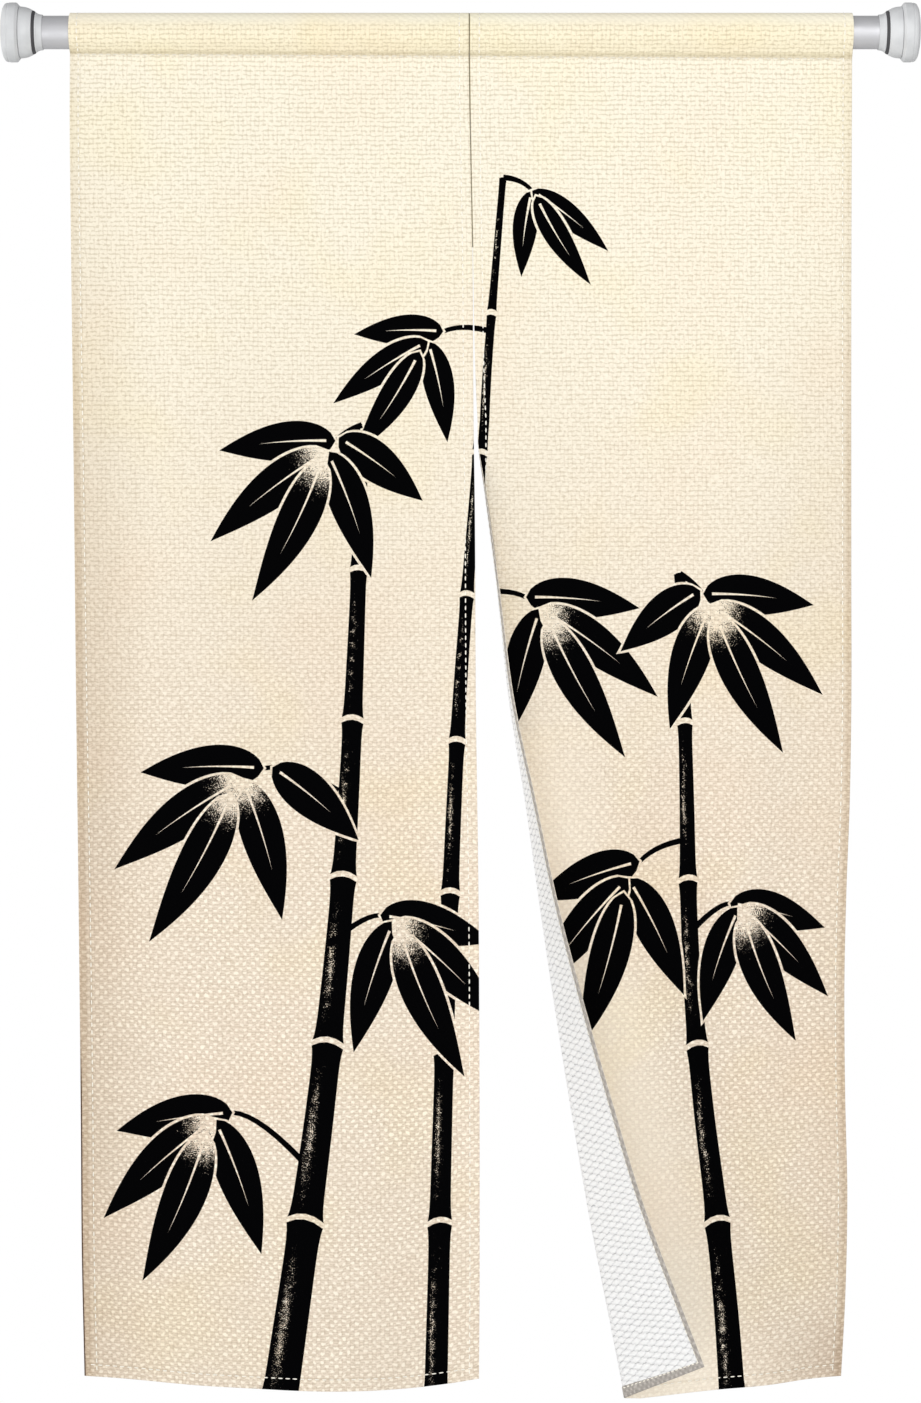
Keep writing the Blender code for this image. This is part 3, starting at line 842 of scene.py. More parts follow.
class Value:
    """A number that a node gives out. Arithmetic with it adds nodes to its graph."""

    kind = "ShaderNodeMath"

    def __init__(self, graph, socket):
        self.graph = graph
        self.socket = socket

    def node(self, operation, *values):
        return self.graph.node(self.kind, 0, {"operation": operation}, *values)

    def __add__(self, other):
        return self.node("ADD", self, other)

    def __sub__(self, other):
        return self.node("SUBTRACT", self, other)

    def __rsub__(self, other):
        return self.node("SUBTRACT", other, self)

    def __mul__(self, other):
        return self.node("MULTIPLY", self, other)

    def __truediv__(self, other):
        return self.node("DIVIDE", self, other)

    def __pow__(self, other):
        return self.node("POWER", self, other)

    def __abs__(self):
        return self.node("ABSOLUTE", self)

    def __lt__(self, other):
        return self.node("LESS_THAN", self, other)

    def __gt__(self, other):
        return self.node("GREATER_THAN", self, other)

    def least(self, other):
        return self.node("MINIMUM", self, other)

    def most(self, other):
        return self.node("MAXIMUM", self, other)

    def cosine(self):
        return self.node("COSINE", self)

    def wave(self, length):
        """A cosine of this wave length along this number."""
        return (self * (2.0 * math.pi / length)).cosine()

    def plateau(self, steepness):
        """This number between -1 and 1, flattened towards both."""
        return self.node("TANH", self * steepness)

    def ramp(self, low, high, to_low=0.0, to_high=1.0):
        """Soft step of this number between two limits."""
        settings = {"interpolation_type": "SMOOTHSTEP"}
        return self.graph.node("ShaderNodeMapRange", 0, settings, self, low, high, to_low, to_high)

    def mix(self, first, second, blend="MIX"):
        """Two colours, mixed by this share."""
        return self.graph.node("ShaderNodeMixRGB", 0, {"blend_type": blend}, self, first, second)


class Place(Value):
    """A place or colour that a node gives out."""

    kind = "ShaderNodeVectorMath"

    def length(self):
        return self.graph.node(self.kind, "Value", {"operation": "LENGTH"}, self)

    def parts(self):
        """Its three numbers."""
        split = self.graph.nodes.new("ShaderNodeSeparateXYZ")
        self.graph.feed(split.inputs[0], self)
        return [Value(self.graph, output) for output in split.outputs]

    def noise(self, scale, detail=2.0, output=0):
        sockets = {"Vector": self, "Scale": scale, "Detail": detail}
        return self.graph.node("ShaderNodeTexNoise", output, {"noise_dimensions": "3D"}, **sockets)

    def grain(self, across, down, detail=2.0):
        """Noise with so many grains for each metre across and down."""
        return (self * (across, down, 1.0)).noise(1.0, detail)


class Graph:
    """The node tree of a material or of the world."""

    def __init__(self, owner, shader="Principled BSDF"):
        owner.use_nodes = True
        self.owner = owner
        self.nodes = owner.node_tree.nodes
        self.links = owner.node_tree.links
        self.shader = self.nodes[shader]

    def feed(self, socket, value):
        """Gives a socket a constant, or links it to another node's output."""
        if isinstance(value, Value):
            self.links.new(value.socket, socket)
        elif socket.type == "RGBA":
            socket.default_value = (*value, 1.0)
        else:
            socket.default_value = value

    def node(self, kind, output, settings, *ordered, **named):
        """Adds a node. Values are fed to its sockets in order, or by their names."""
        node = self.nodes.new(kind)
        for name, setting in settings.items():
            setattr(node, name, setting)
        for socket, value in zip(node.inputs, ordered):
            self.feed(socket, value)
        for name, value in named.items():
            self.feed(node.inputs[name], value)
        socket = node.outputs[output]
        return Value(self, socket) if socket.type == "VALUE" else Place(self, socket)

    def attribute(self, name, output):
        return self.node("ShaderNodeAttribute", output, {"attribute_name": name})

    def flat(self):
        """The place on the flat cloth."""
        return self.attribute("flat", "Vector")

    def coordinates(self, kind="Object"):
        return self.node("ShaderNodeTexCoord", kind, {})

    def bump(self, height, distance):
        """Relief of the surface, for a height from 0 to 1 that stands for a distance."""
        relief = self.node("ShaderNodeBump", 0, {}, Height=height, Distance=distance)
        self.feed(self.shader.inputs["Normal"], relief)

    def finish(self, **values):
        """Feeds the shader's sockets, with _ for a space in their names, and returns the owner."""
        for name, value in values.items():
            self.feed(self.shader.inputs[name.replace("_", " ")], value)
        return self.owner


def new_material(name):
    return Graph(bpy.data.materials.new(name))


WEAVE_ACROSS = 0.0094        # two threads of the printed side
WEAVE_DOWN = 0.0100
BACK_ACROSS = 0.0272         # and of the white side
BACK_DOWN = 0.0074
WEAVE_DEPTH = 0.00045
FIBRE_SHARE = 0.25           # of the relief

# How the threads wander: noise scale and reach
WANDER = ((55.0, 0.0085), (190.0, 0.0042))

FLOAT_LENGTH = 1.6           # how far the threads' floats spread along the rows
FLOAT_POWER = 3.0            # how narrow they are
GAP_POWER = 9.0              # and how narrow the gaps between them are
BRICK_POWER = 7.0            # and those of the white side
NET_SHARE = 0.35             # how dark the net between the lozenges of the white side is
UNEVEN = 0.8                 # how much the threads vary
UNEVEN_BACK = 0.45

# Limits over which a tone of the threads comes in
BRIGHT_LIMITS = (0.10, 0.55)
DARK_LIMITS = (0.15, 0.60)
NET_LIMITS = (-0.55, -0.95)
BRICK_LIMITS = (0.35, 0.80)
HEM_LIMITS = (-0.6, 0.9)
LOZENGE_LIMITS = (-1.0, 0.2)

# Grains for each metre, along a thread and beside it
SLUBS = (60.0, 430.0)
SLUB_SPOTS = 240.0
FIBRES = (350.0, 1700.0)

# The dark dashes follow the rows more closely. Grains for each metre across and down, and the limits over
# which a dash fades in
DASH_WANDER = 0.5
DASH_CONTRAST = 4.0
LYING_GRAINS, LYING_LIMITS = (250.0, 300.0), (0.25, 1.05)
STANDING_GRAINS, STANDING_LIMITS = (300.0, 130.0), (0.45, 1.30)

# Clouds in the cloth: noise scale, and the limits over which they come in
BRIGHT_CLOUDS, BRIGHT_CLOUD_LIMITS = 16.0, (0.30, 0.65)
LEAST_CLOUD = 0.65           # share of the bright threads between the clouds
PINK_CLOUDS, PINK_LIMITS = 5.0, (0.45, 0.70)
YELLOW_CLOUDS, YELLOW_LIMITS = 7.0, (0.48, 0.72)
YELLOW_PLACE = (3.0, 1.0, 0.0)        # so that the yellow clouds lie elsewhere than the pink ones

# Airbrushed ink: noise scale, detail and reach of its fine and coarse grain
INK_GRAIN = ((850.0, 1.0, 1.3), (160.0, 2.0, 0.5))
INK_LIMITS = (0.42, 0.66)    # the cloth comes through over this thinness
INK_LEAST = 0.02             # ink that is less thin than this stays solid

# Colours near the top and in the lower part. The lower part is darker partly in the cloth's own tone and
# partly as painted shade, for light that falls off downwards
GROUND_TOP, GROUND_LOW = (0.885, 0.825, 0.680), (0.795, 0.690, 0.565)
BRIGHT_TOP, BRIGHT_LOW = (0.930, 0.875, 0.735), (0.960, 0.880, 0.740)
DARK_TOP, DARK_LOW = (0.730, 0.670, 0.530), (0.660, 0.560, 0.440)
LYING_TOP, LYING_LOW = (0.80, 0.78, 0.74), (0.84, 0.82, 0.79)
STANDING = (0.90, 0.88, 0.86)
# painted light on the pocket's upper half, against the dimmer light from above, with the pocket's yellower
# tone
POCKET_TOP_PAINTED_LIGHT = (1.0, 0.96, 0.84)
FOLD_PAINTED_LIGHT = (1.0, 0.93, 0.80)     # painted light beside the fold, against the flap's shadow

# Tints that the cream ground is multiplied by: the pocket's tone, pink and yellow clouds, and painted shade
# at the outer sides, hem margins and stitch grooves and in the creases at the seams
POCKET_TINT = (1.0, 0.985, 0.91)
PINK_TINT = (1.0, 0.975, 0.96)
YELLOW_TINT = (1.0, 0.99, 0.93)
SIDE_PAINTED_SHADE = (0.89, 0.86, 0.83)
MARGIN_PAINTED_SHADE = (0.84, 0.80, 0.75)
GROOVE_PAINTED_SHADE = (0.88, 0.86, 0.83)
CORNER_TINT = (0.84, 0.81, 0.80)
LINE_TINT = (0.15, 0.10, 0.085)
JOINT_PAINTED_SHADE = (0.60, 0.56, 0.46)
SEAM_BAND_PAINTED_SHADE = (0.82, 0.80, 0.75)
CREASE_PAINTED_SHADE = (0.92, 0.90, 0.87)

INK = (0.0015, 0.0015, 0.0018)
WHITE_GAP, WHITE_THREAD = (0.49, 0.49, 0.50), (0.99, 0.99, 0.99)
# the turned hems on the back: the cream cloth coloured darker as painted shade
HEM_SHADED_GAP, HEM_SHADED_THREAD = (0.36, 0.33, 0.30), (0.56, 0.52, 0.48)
EDGE_LOW, EDGE_HIGH = (0.80, 0.73, 0.60), (0.90, 0.84, 0.72)
EDGE_BROWN = (0.20, 0.13, 0.10)
STITCH_LOW, STITCH_HIGH = (0.92, 0.87, 0.75), (0.99, 0.96, 0.88)
POCKET_LOW, POCKET_HIGH = (0.72, 0.68, 0.58), (0.82, 0.78, 0.68)
JOINT_SHADE_LOW, JOINT_SHADE_HIGH = (0.10, 0.09, 0.06), (0.20, 0.18, 0.13)
PAINT_LOW, PAINT_HIGH = (0.54, 0.54, 0.56), (0.61, 0.61, 0.63)
PLASTIC_LOW, PLASTIC_HIGH = (0.58, 0.59, 0.60), (0.66, 0.67, 0.68)
RUBBER_LOW, RUBBER_HIGH = (0.035, 0.035, 0.038), (0.07, 0.07, 0.075)
FLOOR_LOW, FLOOR_HIGH = (0.84, 0.84, 0.83), (0.88, 0.88, 0.87)

# Heights below the pocket's seam over which a look comes in. The first is where it is absent
LOW_LOOK = (0.08, 0.95)
BRIGHT_LOOK = (0.45, 1.10)
BRIGHT_LEAST = 0.35          # share of the bright threads above it
POCKET_LOOK = (0.004, -0.006)
POCKET_TOP_LIGHT_LOOK = (-0.034, -0.048)
HANGING_LOOK = (-0.016, -0.010)
MARGIN_LOOK = (0.15, 0.50)
MARGIN_LEAST = 0.45          # and of the painted shade on the hem margin
SHADE_LOOK = (-0.05, 0.60)
FOLD_LIGHT_LOOK = (0.55, 0.95)
LINE_LOOK = (1.04, 1.14)
BROWN_LOOK = (1.08, 1.24)

FOLD_TOP = 0.40              # the turned margin starts here and widens downwards
FOLD_SPREAD = 0.242
FOLD_POWER = 1.37
FOLD_LIGHT_REACH = 0.11            # painted light makes the cloth paler this far beside the fold
FOLD_LIGHT_SHARE = 0.6
CORNER_SHADE = (0.861, 1.425, 0.0)    # a darker place near the right panel's lower corner
CORNER_REACH = 0.085
SHADE_REACH = 0.100          # painted shade darkens the outer sides over this width
SHADE_RIGHT = 0.5            # and the right one by this share
MARGIN_SHADE = (0.0090, 0.0045)       # distances from an outer edge over which painted shade darkens its hem, where the rolled hem turns from the light
GROOVE_SHADE = 0.0022        # painted shade darkens the cloth this far beside a stitch line, as in its groove
LINE_WIDTH = (0.0019, 0.0012)         # of the brown line along the left outer edge
JOINT_WIDTH = 0.0004         # painted shade in the crease beside the centre seam
BAND_MIDDLE = -0.0028        # middle of the painted shade in a band above the pocket's seam, where the cloth turns in under the rod
BAND_REACH = 0.0046
BAND_FULL = 0.0022
# painted shade along the crease at the pocket's seam reaches this far
CREASE_REACH = 0.0014

# Relief of the other surfaces
EDGE_DEPTH = 0.0002
PLY_DEPTH = 0.00012
PLY_WAVES = 420.0            # how close the twists of the stitching thread are, and how uneven
PLY_UNEVEN = 1.5
JOINT_GRAIN, JOINT_RELIEF = 500.0, 0.0001
PAINT_GRAINS = (6.0, 260.0, 260.0)    # the paint is drawn out along the tube
PAINT_FLOW, PAINT_DEPTH = 70.0, 0.00004
PLASTIC_CLOUDS = 45.0
PLASTIC_GRAIN, PLASTIC_DEPTH = 900.0, 0.00005
RUBBER_GRAIN, RUBBER_DEPTH = 700.0, 0.00008
SHINE_LIMITS = (0.3, 0.7)    # the noise over which a surface's roughness changes
PAINT_SHINE = (0.42, 0.52)
PLASTIC_SHINE = (0.38, 0.50)
RUBBER_SHINE = (0.5, 0.7)


def wandering(flat, share=1.0):
    """Across and down on the flat cloth, moved about as the threads wander."""
    place = flat
    for scale, reach in WANDER:
        place = place + (flat.noise(scale, output=1) - (0.5, 0.5, 0.5)) * ((share * reach,) * 3)
    return place.parts()[:2]


def slubs(flat):
    """Uneven threads: noise that runs along both threads, about 0."""
    long, fine = SLUBS
    return flat.grain(long, fine) + flat.grain(fine, long) + flat.noise(SLUB_SPOTS, 1.0) - 1.5


def fibres(flat):
    """Fine fibre grain that runs along both threads."""
    long, fine = FIBRES
    return flat.grain(long, fine) * flat.grain(fine, long)


def floats(flat):
    """Staggered floats of a plain weave: 1 where a weft thread lies on top, -1 in the gaps between."""
    across, down = wandering(flat)
    long = across.wave(WEAVE_ACROSS).plateau(FLOAT_LENGTH)
    above = down.wave(WEAVE_DOWN)
    return long * above ** FLOAT_POWER, long * above ** GAP_POWER


def dashes(flat):
    """Broken dark lines between the threads, partly painted shade in the grooves between them: mostly along
    the rows, some along the columns.
    """
    across, down = wandering(flat, DASH_WANDER)
    lying = (flat.grain(*LYING_GRAINS, 1.0) - 0.5) * DASH_CONTRAST - down.wave(0.5 * WEAVE_DOWN)
    standing = (flat.grain(*STANDING_GRAINS, 1.0) - 0.5) * DASH_CONTRAST - across.wave(0.5 * WEAVE_ACROSS)
    return lying.ramp(*LYING_LIMITS), standing.ramp(*STANDING_LIMITS)


def side_distance(across, below):
    """Distance from the nearer outer edge, over how much its hem widens there."""
    widening = (OUTER_FOOT - OUTER_TOP) / (LENGTH + POCKET)
    left = across / (below * widening + (OUTER_TOP + widening * POCKET))
    return left.least(WIDTH - across)


def side_painted_shade(across):
    """Painted shade: how much the cloth darkens towards its outer edges, most of all on the left."""
    return across.ramp(SHADE_REACH, 0.0) + across.ramp(WIDTH - SHADE_REACH, WIDTH, 0.0, SHADE_RIGHT)


def painted_light_beside_fold(across, below):
    """Painted light against the flap's shadow: 1 on the line where the right panel turns forward, falling
    off over the cloth beside it.
    """
    fold_line = (below - FOLD_TOP).most(0.0) ** FOLD_POWER * FOLD_SPREAD + LEFT_WIDTH
    near = (across - fold_line).ramp(FOLD_LIGHT_REACH, 0.0)
    return near * below.ramp(*FOLD_LIGHT_LOOK, 0.0, FOLD_LIGHT_SHARE) * (across > LEFT_WIDTH)


def near_line(place, line, reach, full=0.0):
    """1 on a line and to its full width on both sides, falling to 0 at its reach."""
    return abs(place - line).ramp(reach, full)


def woven_cream(flat, below, on_top, gaps):
    """Colour of the cream ground's threads. Their bright floats and dark gaps are partly the threads' own
    tones and partly painted light and shade of the weave's relief.
    """
    lying, standing = dashes(flat)
    uneven = slubs(flat) * UNEVEN
    clouds = flat.noise(BRIGHT_CLOUDS).ramp(*BRIGHT_CLOUD_LIMITS, LEAST_CLOUD, 1.0)
    # the darker lower part is partly the cloth's tone and partly painted shade
    low = below.ramp(*LOW_LOOK)
    bright = (on_top + uneven).ramp(*BRIGHT_LIMITS) * clouds * below.ramp(*BRIGHT_LOOK, BRIGHT_LEAST, 1.0)
    dark = (uneven - gaps).ramp(*DARK_LIMITS) * low
    colour = low.mix(GROUND_TOP, GROUND_LOW)
    colour = bright.mix(colour, low.mix(BRIGHT_TOP, BRIGHT_LOW))
    colour = dark.mix(colour, low.mix(DARK_TOP, DARK_LOW))
    colour = lying.mix(colour, low.mix(LYING_TOP, LYING_LOW), "MULTIPLY")
    return standing.mix(colour, STANDING, "MULTIPLY")


def printed_cloth(flat):
    """Colour and relief of the cream ground."""
    across, below, _ = flat.parts()
    on_top, gaps = floats(flat)
    colour = woven_cream(flat, below, on_top, gaps)
    # painted light on the pocket's upper half
    colour = below.ramp(*POCKET_TOP_LIGHT_LOOK).mix(colour, POCKET_TOP_PAINTED_LIGHT)
    # painted light beside the fold, against the flap's shadow
    colour = painted_light_beside_fold(across, below).mix(colour, FOLD_PAINTED_LIGHT)

    from_side = side_distance(across, below)
    hanging = below.ramp(*HANGING_LOOK)
    margin = below.ramp(*MARGIN_LOOK, MARGIN_LEAST, 1.0) * hanging
    corner = (flat - CORNER_SHADE).length()
    joint = abs(across - LEFT_WIDTH).ramp(2.0 * JOINT_WIDTH, JOINT_WIDTH)
    for share, tint in (
        (below.ramp(*POCKET_LOOK), POCKET_TINT),
        (flat.noise(PINK_CLOUDS).ramp(*PINK_LIMITS), PINK_TINT),
        ((flat + YELLOW_PLACE).noise(YELLOW_CLOUDS).ramp(*YELLOW_LIMITS), YELLOW_TINT),
        # painted shade at the outer sides
        (side_painted_shade(across) * below.ramp(*SHADE_LOOK), SIDE_PAINTED_SHADE),
        # painted shade on the hem margins
        (from_side.ramp(*MARGIN_SHADE) * margin, MARGIN_PAINTED_SHADE),
        # painted shade beside the stitch lines
        (near_line(from_side, SIDE_STITCH, GROOVE_SHADE) * hanging, GROOVE_PAINTED_SHADE),
        (near_line(LENGTH - below, BOTTOM_STITCH, GROOVE_SHADE), GROOVE_PAINTED_SHADE),
        (corner.ramp(CORNER_REACH, 0.0), CORNER_TINT),
        (across.ramp(*LINE_WIDTH) * below.ramp(*LINE_LOOK), LINE_TINT),
        # painted shade in the band above the pocket's seam
        (near_line(below, BAND_MIDDLE, BAND_REACH, BAND_FULL), SEAM_BAND_PAINTED_SHADE),
        # painted shade in the crease at the pocket's seam
        (near_line(below, 0.0, CREASE_REACH), CREASE_PAINTED_SHADE),
        # painted shade in the crease at the centre seam
        (joint * (below < SEAM_LENGTH), JOINT_PAINTED_SHADE),
    ):
        colour = share.mix(colour, tint, "MULTIPLY")
    return colour, on_top.ramp(-1.0, 1.0) + fibres(flat) * FIBRE_SHARE


CLOTH_SHEEN = {"Specular_IOR_Level": 0.25, "Sheen_Weight": 0.10, "Sheen_Roughness": 0.5}


def make_ground():
    """The bare cream cloth of the printed side."""
    graph = new_material("cloth_ground")
    colour, relief = printed_cloth(graph.flat())
    graph.bump(relief, WEAVE_DEPTH)
    return graph.finish(Base_Color=colour, Roughness=0.85, **CLOTH_SHEEN)


def make_ink():
    """Black ink, thinned out to a fine grain where it is airbrushed."""
    graph = new_material("cloth_ink")
    flat = graph.flat()
    colour, relief = printed_cloth(flat)
    thin = graph.attribute("thin", "Fac")
    fine, coarse = ((flat.noise(scale, detail) - 0.5) * reach for scale, detail, reach in INK_GRAIN)
    bare = (thin + (fine + coarse)).ramp(*INK_LIMITS) * (thin > INK_LEAST)
    graph.bump(relief, WEAVE_DEPTH)
    return graph.finish(Base_Color=bare.mix(INK, colour), Roughness=0.95, Specular_IOR_Level=0.0)


def hem_share(across, below):
    """1 where the turned hems lie on the back of the cloth, 0 elsewhere."""
    slit = across - LEFT_WIDTH
    right = slit > 0.0
    narrowed = 1.0 - (below + POCKET) * (SLIT_NARROWING / (LENGTH + POCKET))
    outer = side_distance(across, below) < HEM
    inner = abs(slit) < right * ((narrowed - 1.0) * HEM) + HEM
    tapering = slit.ramp(TAPER_LENGTH, 0.0, 0.0, HEM_TAPER * BOTTOM_HEM) * right
    bottom = below - tapering > LENGTH - BOTTOM_HEM
    return outer.most(inner).most(bottom) * (below > 0.0)


def make_back():
    """The white side: a net of gaps round small lozenges, and the turned hems in the ground's own weave,
    darkened as painted shade.
    """
    graph = new_material("cloth_back")
    flat = graph.flat()
    across, below, _ = flat.parts()
    aside, down = wandering(flat, DASH_WANDER)
    columns = aside * (2.0 * math.pi / BACK_ACROSS)
    rows = down * (2.0 * math.pi / BACK_DOWN)
    uneven = slubs(flat) * UNEVEN_BACK
    lozenge = (columns + rows).cosine().least((columns - rows).cosine())
    net = (lozenge + uneven).ramp(*NET_LIMITS, 0.0, NET_SHARE)
    brick = columns.cosine().plateau(FLOAT_LENGTH) * rows.cosine() ** BRICK_POWER
    white = net.most((uneven - brick).ramp(*BRICK_LIMITS)).mix(WHITE_THREAD, WHITE_GAP)
    # the turned hems, coloured darker as painted shade
    hem = (floats(flat)[0] + uneven).ramp(*HEM_LIMITS).mix(HEM_SHADED_GAP, HEM_SHADED_THREAD)
    graph.bump(lozenge.ramp(*LOZENGE_LIMITS) + fibres(flat) * FIBRE_SHARE, WEAVE_DEPTH)
    return graph.finish(Base_Color=hem_share(across, below).mix(white, hem), Roughness=0.85, **CLOTH_SHEEN)


def make_edge():
    """The folded edge: cream, with a brown line down the lower part of the left panel's outer side."""
    graph = new_material("cloth_edge")
    flat = graph.flat()
    across, below, _ = flat.parts()
    grain = fibres(flat)
    graph.bump(grain, EDGE_DEPTH)
    brown = (across < HEM) * below.ramp(*BROWN_LOOK)
    colour = brown.mix(grain.mix(EDGE_LOW, EDGE_HIGH), EDGE_BROWN)
    return graph.finish(Base_Color=colour, Roughness=0.85, Specular_IOR_Level=0.25)


def make_thread(name, low, high):
    """Twisted stitching thread between two tones."""
    graph = new_material(name)
    settings, place = {"bands_direction": "DIAGONAL"}, graph.coordinates()
    ply = graph.node("ShaderNodeTexWave", "Fac", settings, place, Scale=PLY_WAVES, Distortion=PLY_UNEVEN)
    graph.bump(ply, PLY_DEPTH)
    sheen = {"Specular_IOR_Level": 0.4, "Sheen_Weight": 0.15, "Sheen_Roughness": 0.4}
    return graph.finish(Base_Color=ply.mix(low, high), Roughness=0.55, **sheen)


# a dark strip that stands for the shade in the joint's crease
def make_joint_shade_strip():
    graph = new_material("joint_shade_strip")
    grain = graph.coordinates().noise(JOINT_GRAIN)
    graph.bump(grain, JOINT_RELIEF)
    return graph.finish(Base_Color=grain.mix(JOINT_SHADE_LOW, JOINT_SHADE_HIGH), Roughness=0.85)


def make_paint():
    graph = new_material("rod_paint")
    place = graph.coordinates()
    drawn = (place * PAINT_GRAINS).noise(scale=1.0, detail=3.0)
    flow = place.noise(PAINT_FLOW)
    graph.bump(drawn * 0.5 + flow, PAINT_DEPTH)
    metal = {"Metallic": 0.45, "Coat_Weight": 0.05, "Coat_Roughness": 0.45}
    colour, shine = drawn.mix(PAINT_LOW, PAINT_HIGH), flow.ramp(*SHINE_LIMITS, *PAINT_SHINE)
    return graph.finish(Base_Color=colour, Roughness=shine, **metal)


def make_plastic():
    graph = new_material("cap_plastic")
    place = graph.coordinates()
    clouds = place.noise(PLASTIC_CLOUDS, detail=3.0)
    graph.bump(place.noise(PLASTIC_GRAIN), PLASTIC_DEPTH)
    colour = clouds.ramp(*SHINE_LIMITS).mix(PLASTIC_LOW, PLASTIC_HIGH)
    shine = clouds.ramp(*SHINE_LIMITS, *PLASTIC_SHINE)
    return graph.finish(Base_Color=colour, Roughness=shine, Specular_IOR_Level=0.5)


def make_rubber():
    graph = new_material("ring_rubber")
    grain = graph.coordinates().noise(RUBBER_GRAIN)
    graph.bump(grain, RUBBER_DEPTH)
    colour, shine = grain.mix(RUBBER_LOW, RUBBER_HIGH), grain.ramp(*SHINE_LIMITS, *RUBBER_SHINE)
    return graph.finish(Base_Color=colour, Roughness=shine, Specular_IOR_Level=0.5)


# Closed bodies

def skin(rings, is_loop=False):
    """Faces between rings of point numbers. A ring of one point is a tip, and wider end rings are capped."""
    sides = max(len(ring) for ring in rings)
    pairs = list(zip(rings, [*rings[1:], rings[0]]))
    faces = []
    if not is_loop:
        pairs.pop()
        faces += [tuple(ring) for ring in (rings[0], rings[-1]) if len(ring) > 1]
    for ring, after in pairs:
        for k in range(sides):
            near = (ring[k % len(ring)], ring[(k + 1) % len(ring)])
            far = (after[(k + 1) % len(after)], after[k % len(after)])
            faces.append(tuple(dict.fromkeys(near + far)))
    return faces


def numbered(lengths, first=0):
    """Numbers of the points of rings that follow each other, from the rings' lengths."""
    rings = []
    for length in lengths:
        rings.append(list(range(first, first + length)))
        first += length
    return rings


def turn_outward(piece):
    """Makes every face of closed bodies look outward."""
    work = bmesh.new()
    work.from_mesh(piece.data)
    bmesh.ops.recalc_face_normals(work, faces=work.faces)
    work.to_mesh(piece.data)
    work.free()


# Stitching

STITCH_PITCH = 0.0081
STITCH_LENGTH = 0.0056
THREAD = 0.0014              # width of the thread where it lies on the cloth
THREAD_HEIGHT = 0.0007
THREAD_RISE = 0.00030        # a stitch arches this far off the cloth
THREAD_SINK = 0.00025        # and its ends sink into it
RING_SHARES = (0.05, 0.25, 0.50, 0.75, 0.95)
THREAD_SIDES = 6
STITCH_END = 0.0040          # the stitching stops this far from the lower edge
POCKET_STITCH = 0.0006       # stitch line in the pocket's crease
NEARBY = 0.0005              # step for reading the cloth's directions


def cloth_frame(panel, flat, along):
    """Middle surface of the cloth at flat places, its front normals, and the direction of a line on it."""
    right, lower = np.array((NEARBY, 0.0)), np.array((0.0, NEARBY))
    rightward = cloth_point(panel, flat + right) - cloth_point(panel, flat - right)
    upward = cloth_point(panel, flat - lower) - cloth_point(panel, flat + lower)
    forward = cloth_point(panel, flat + along * NEARBY) - cloth_point(panel, flat - along * NEARBY)
    return cloth_point(panel, flat), unit(np.cross(rightward, upward)), unit(forward)


def stitch_row(panel, start, end, on_back):
    """Points and faces of a row of stitches on one side of the cloth, between two flat places."""
    start, end = np.array(start), np.array(end)
    length = math.dist(start, end)
    along = (end - start) / length
    count = int(length / STITCH_PITCH)
    first = 0.5 * (length - (count - 1) * STITCH_PITCH)
    middles = start + along * (first + STITCH_PITCH * np.arange(count))[:, None]
    shares = np.array((0.0, *RING_SHARES, 1.0))
    flat = middles[:, None, :] + along * (STITCH_LENGTH * (shares - 0.5))[None, :, None]
    centre, normals, forward = cloth_frame(panel, flat, along)
    front, back = cloth_sides(panel, flat)
    outward = -normals if on_back else normals
    ends = (2.0 * shares - 1.0) ** 2
    lift = (back if on_back else front) + THREAD_RISE * (1.0 - ends) - THREAD_SINK * ends
    centre = centre + outward * lift[..., None]
    sideways = np.cross(outward, forward)
    thickness = np.sqrt(1.0 - ends[1:-1] ** 2)
    points, faces = [], []
    for stitch in range(count):
        faces += skin(numbered((1, *[THREAD_SIDES] * len(thickness), 1), len(points)))
        points.append(centre[stitch, 0])
        for ring, wide in enumerate(thickness, start=1):
            for k in range(THREAD_SIDES):
                angle = 2.0 * math.pi * k / THREAD_SIDES
                across = 0.5 * THREAD * wide * math.cos(angle) * sideways[stitch, ring]
                off = 0.5 * THREAD_HEIGHT * wide * math.sin(angle) * outward[stitch, ring]
                points.append(centre[stitch, ring] + across + off)
        points.append(centre[stitch, -1])
    return points, faces


def side_line(panel, edge, distance, share_at):
    """Flat ends of a row of stitches beside an edge, whose hem has its own share of the common width."""
    ends = (-POCKET + STITCH_END, LENGTH - STITCH_END)
    return [(edge + distance * float(share_at(panel, np.array(below))), below) for below in ends]


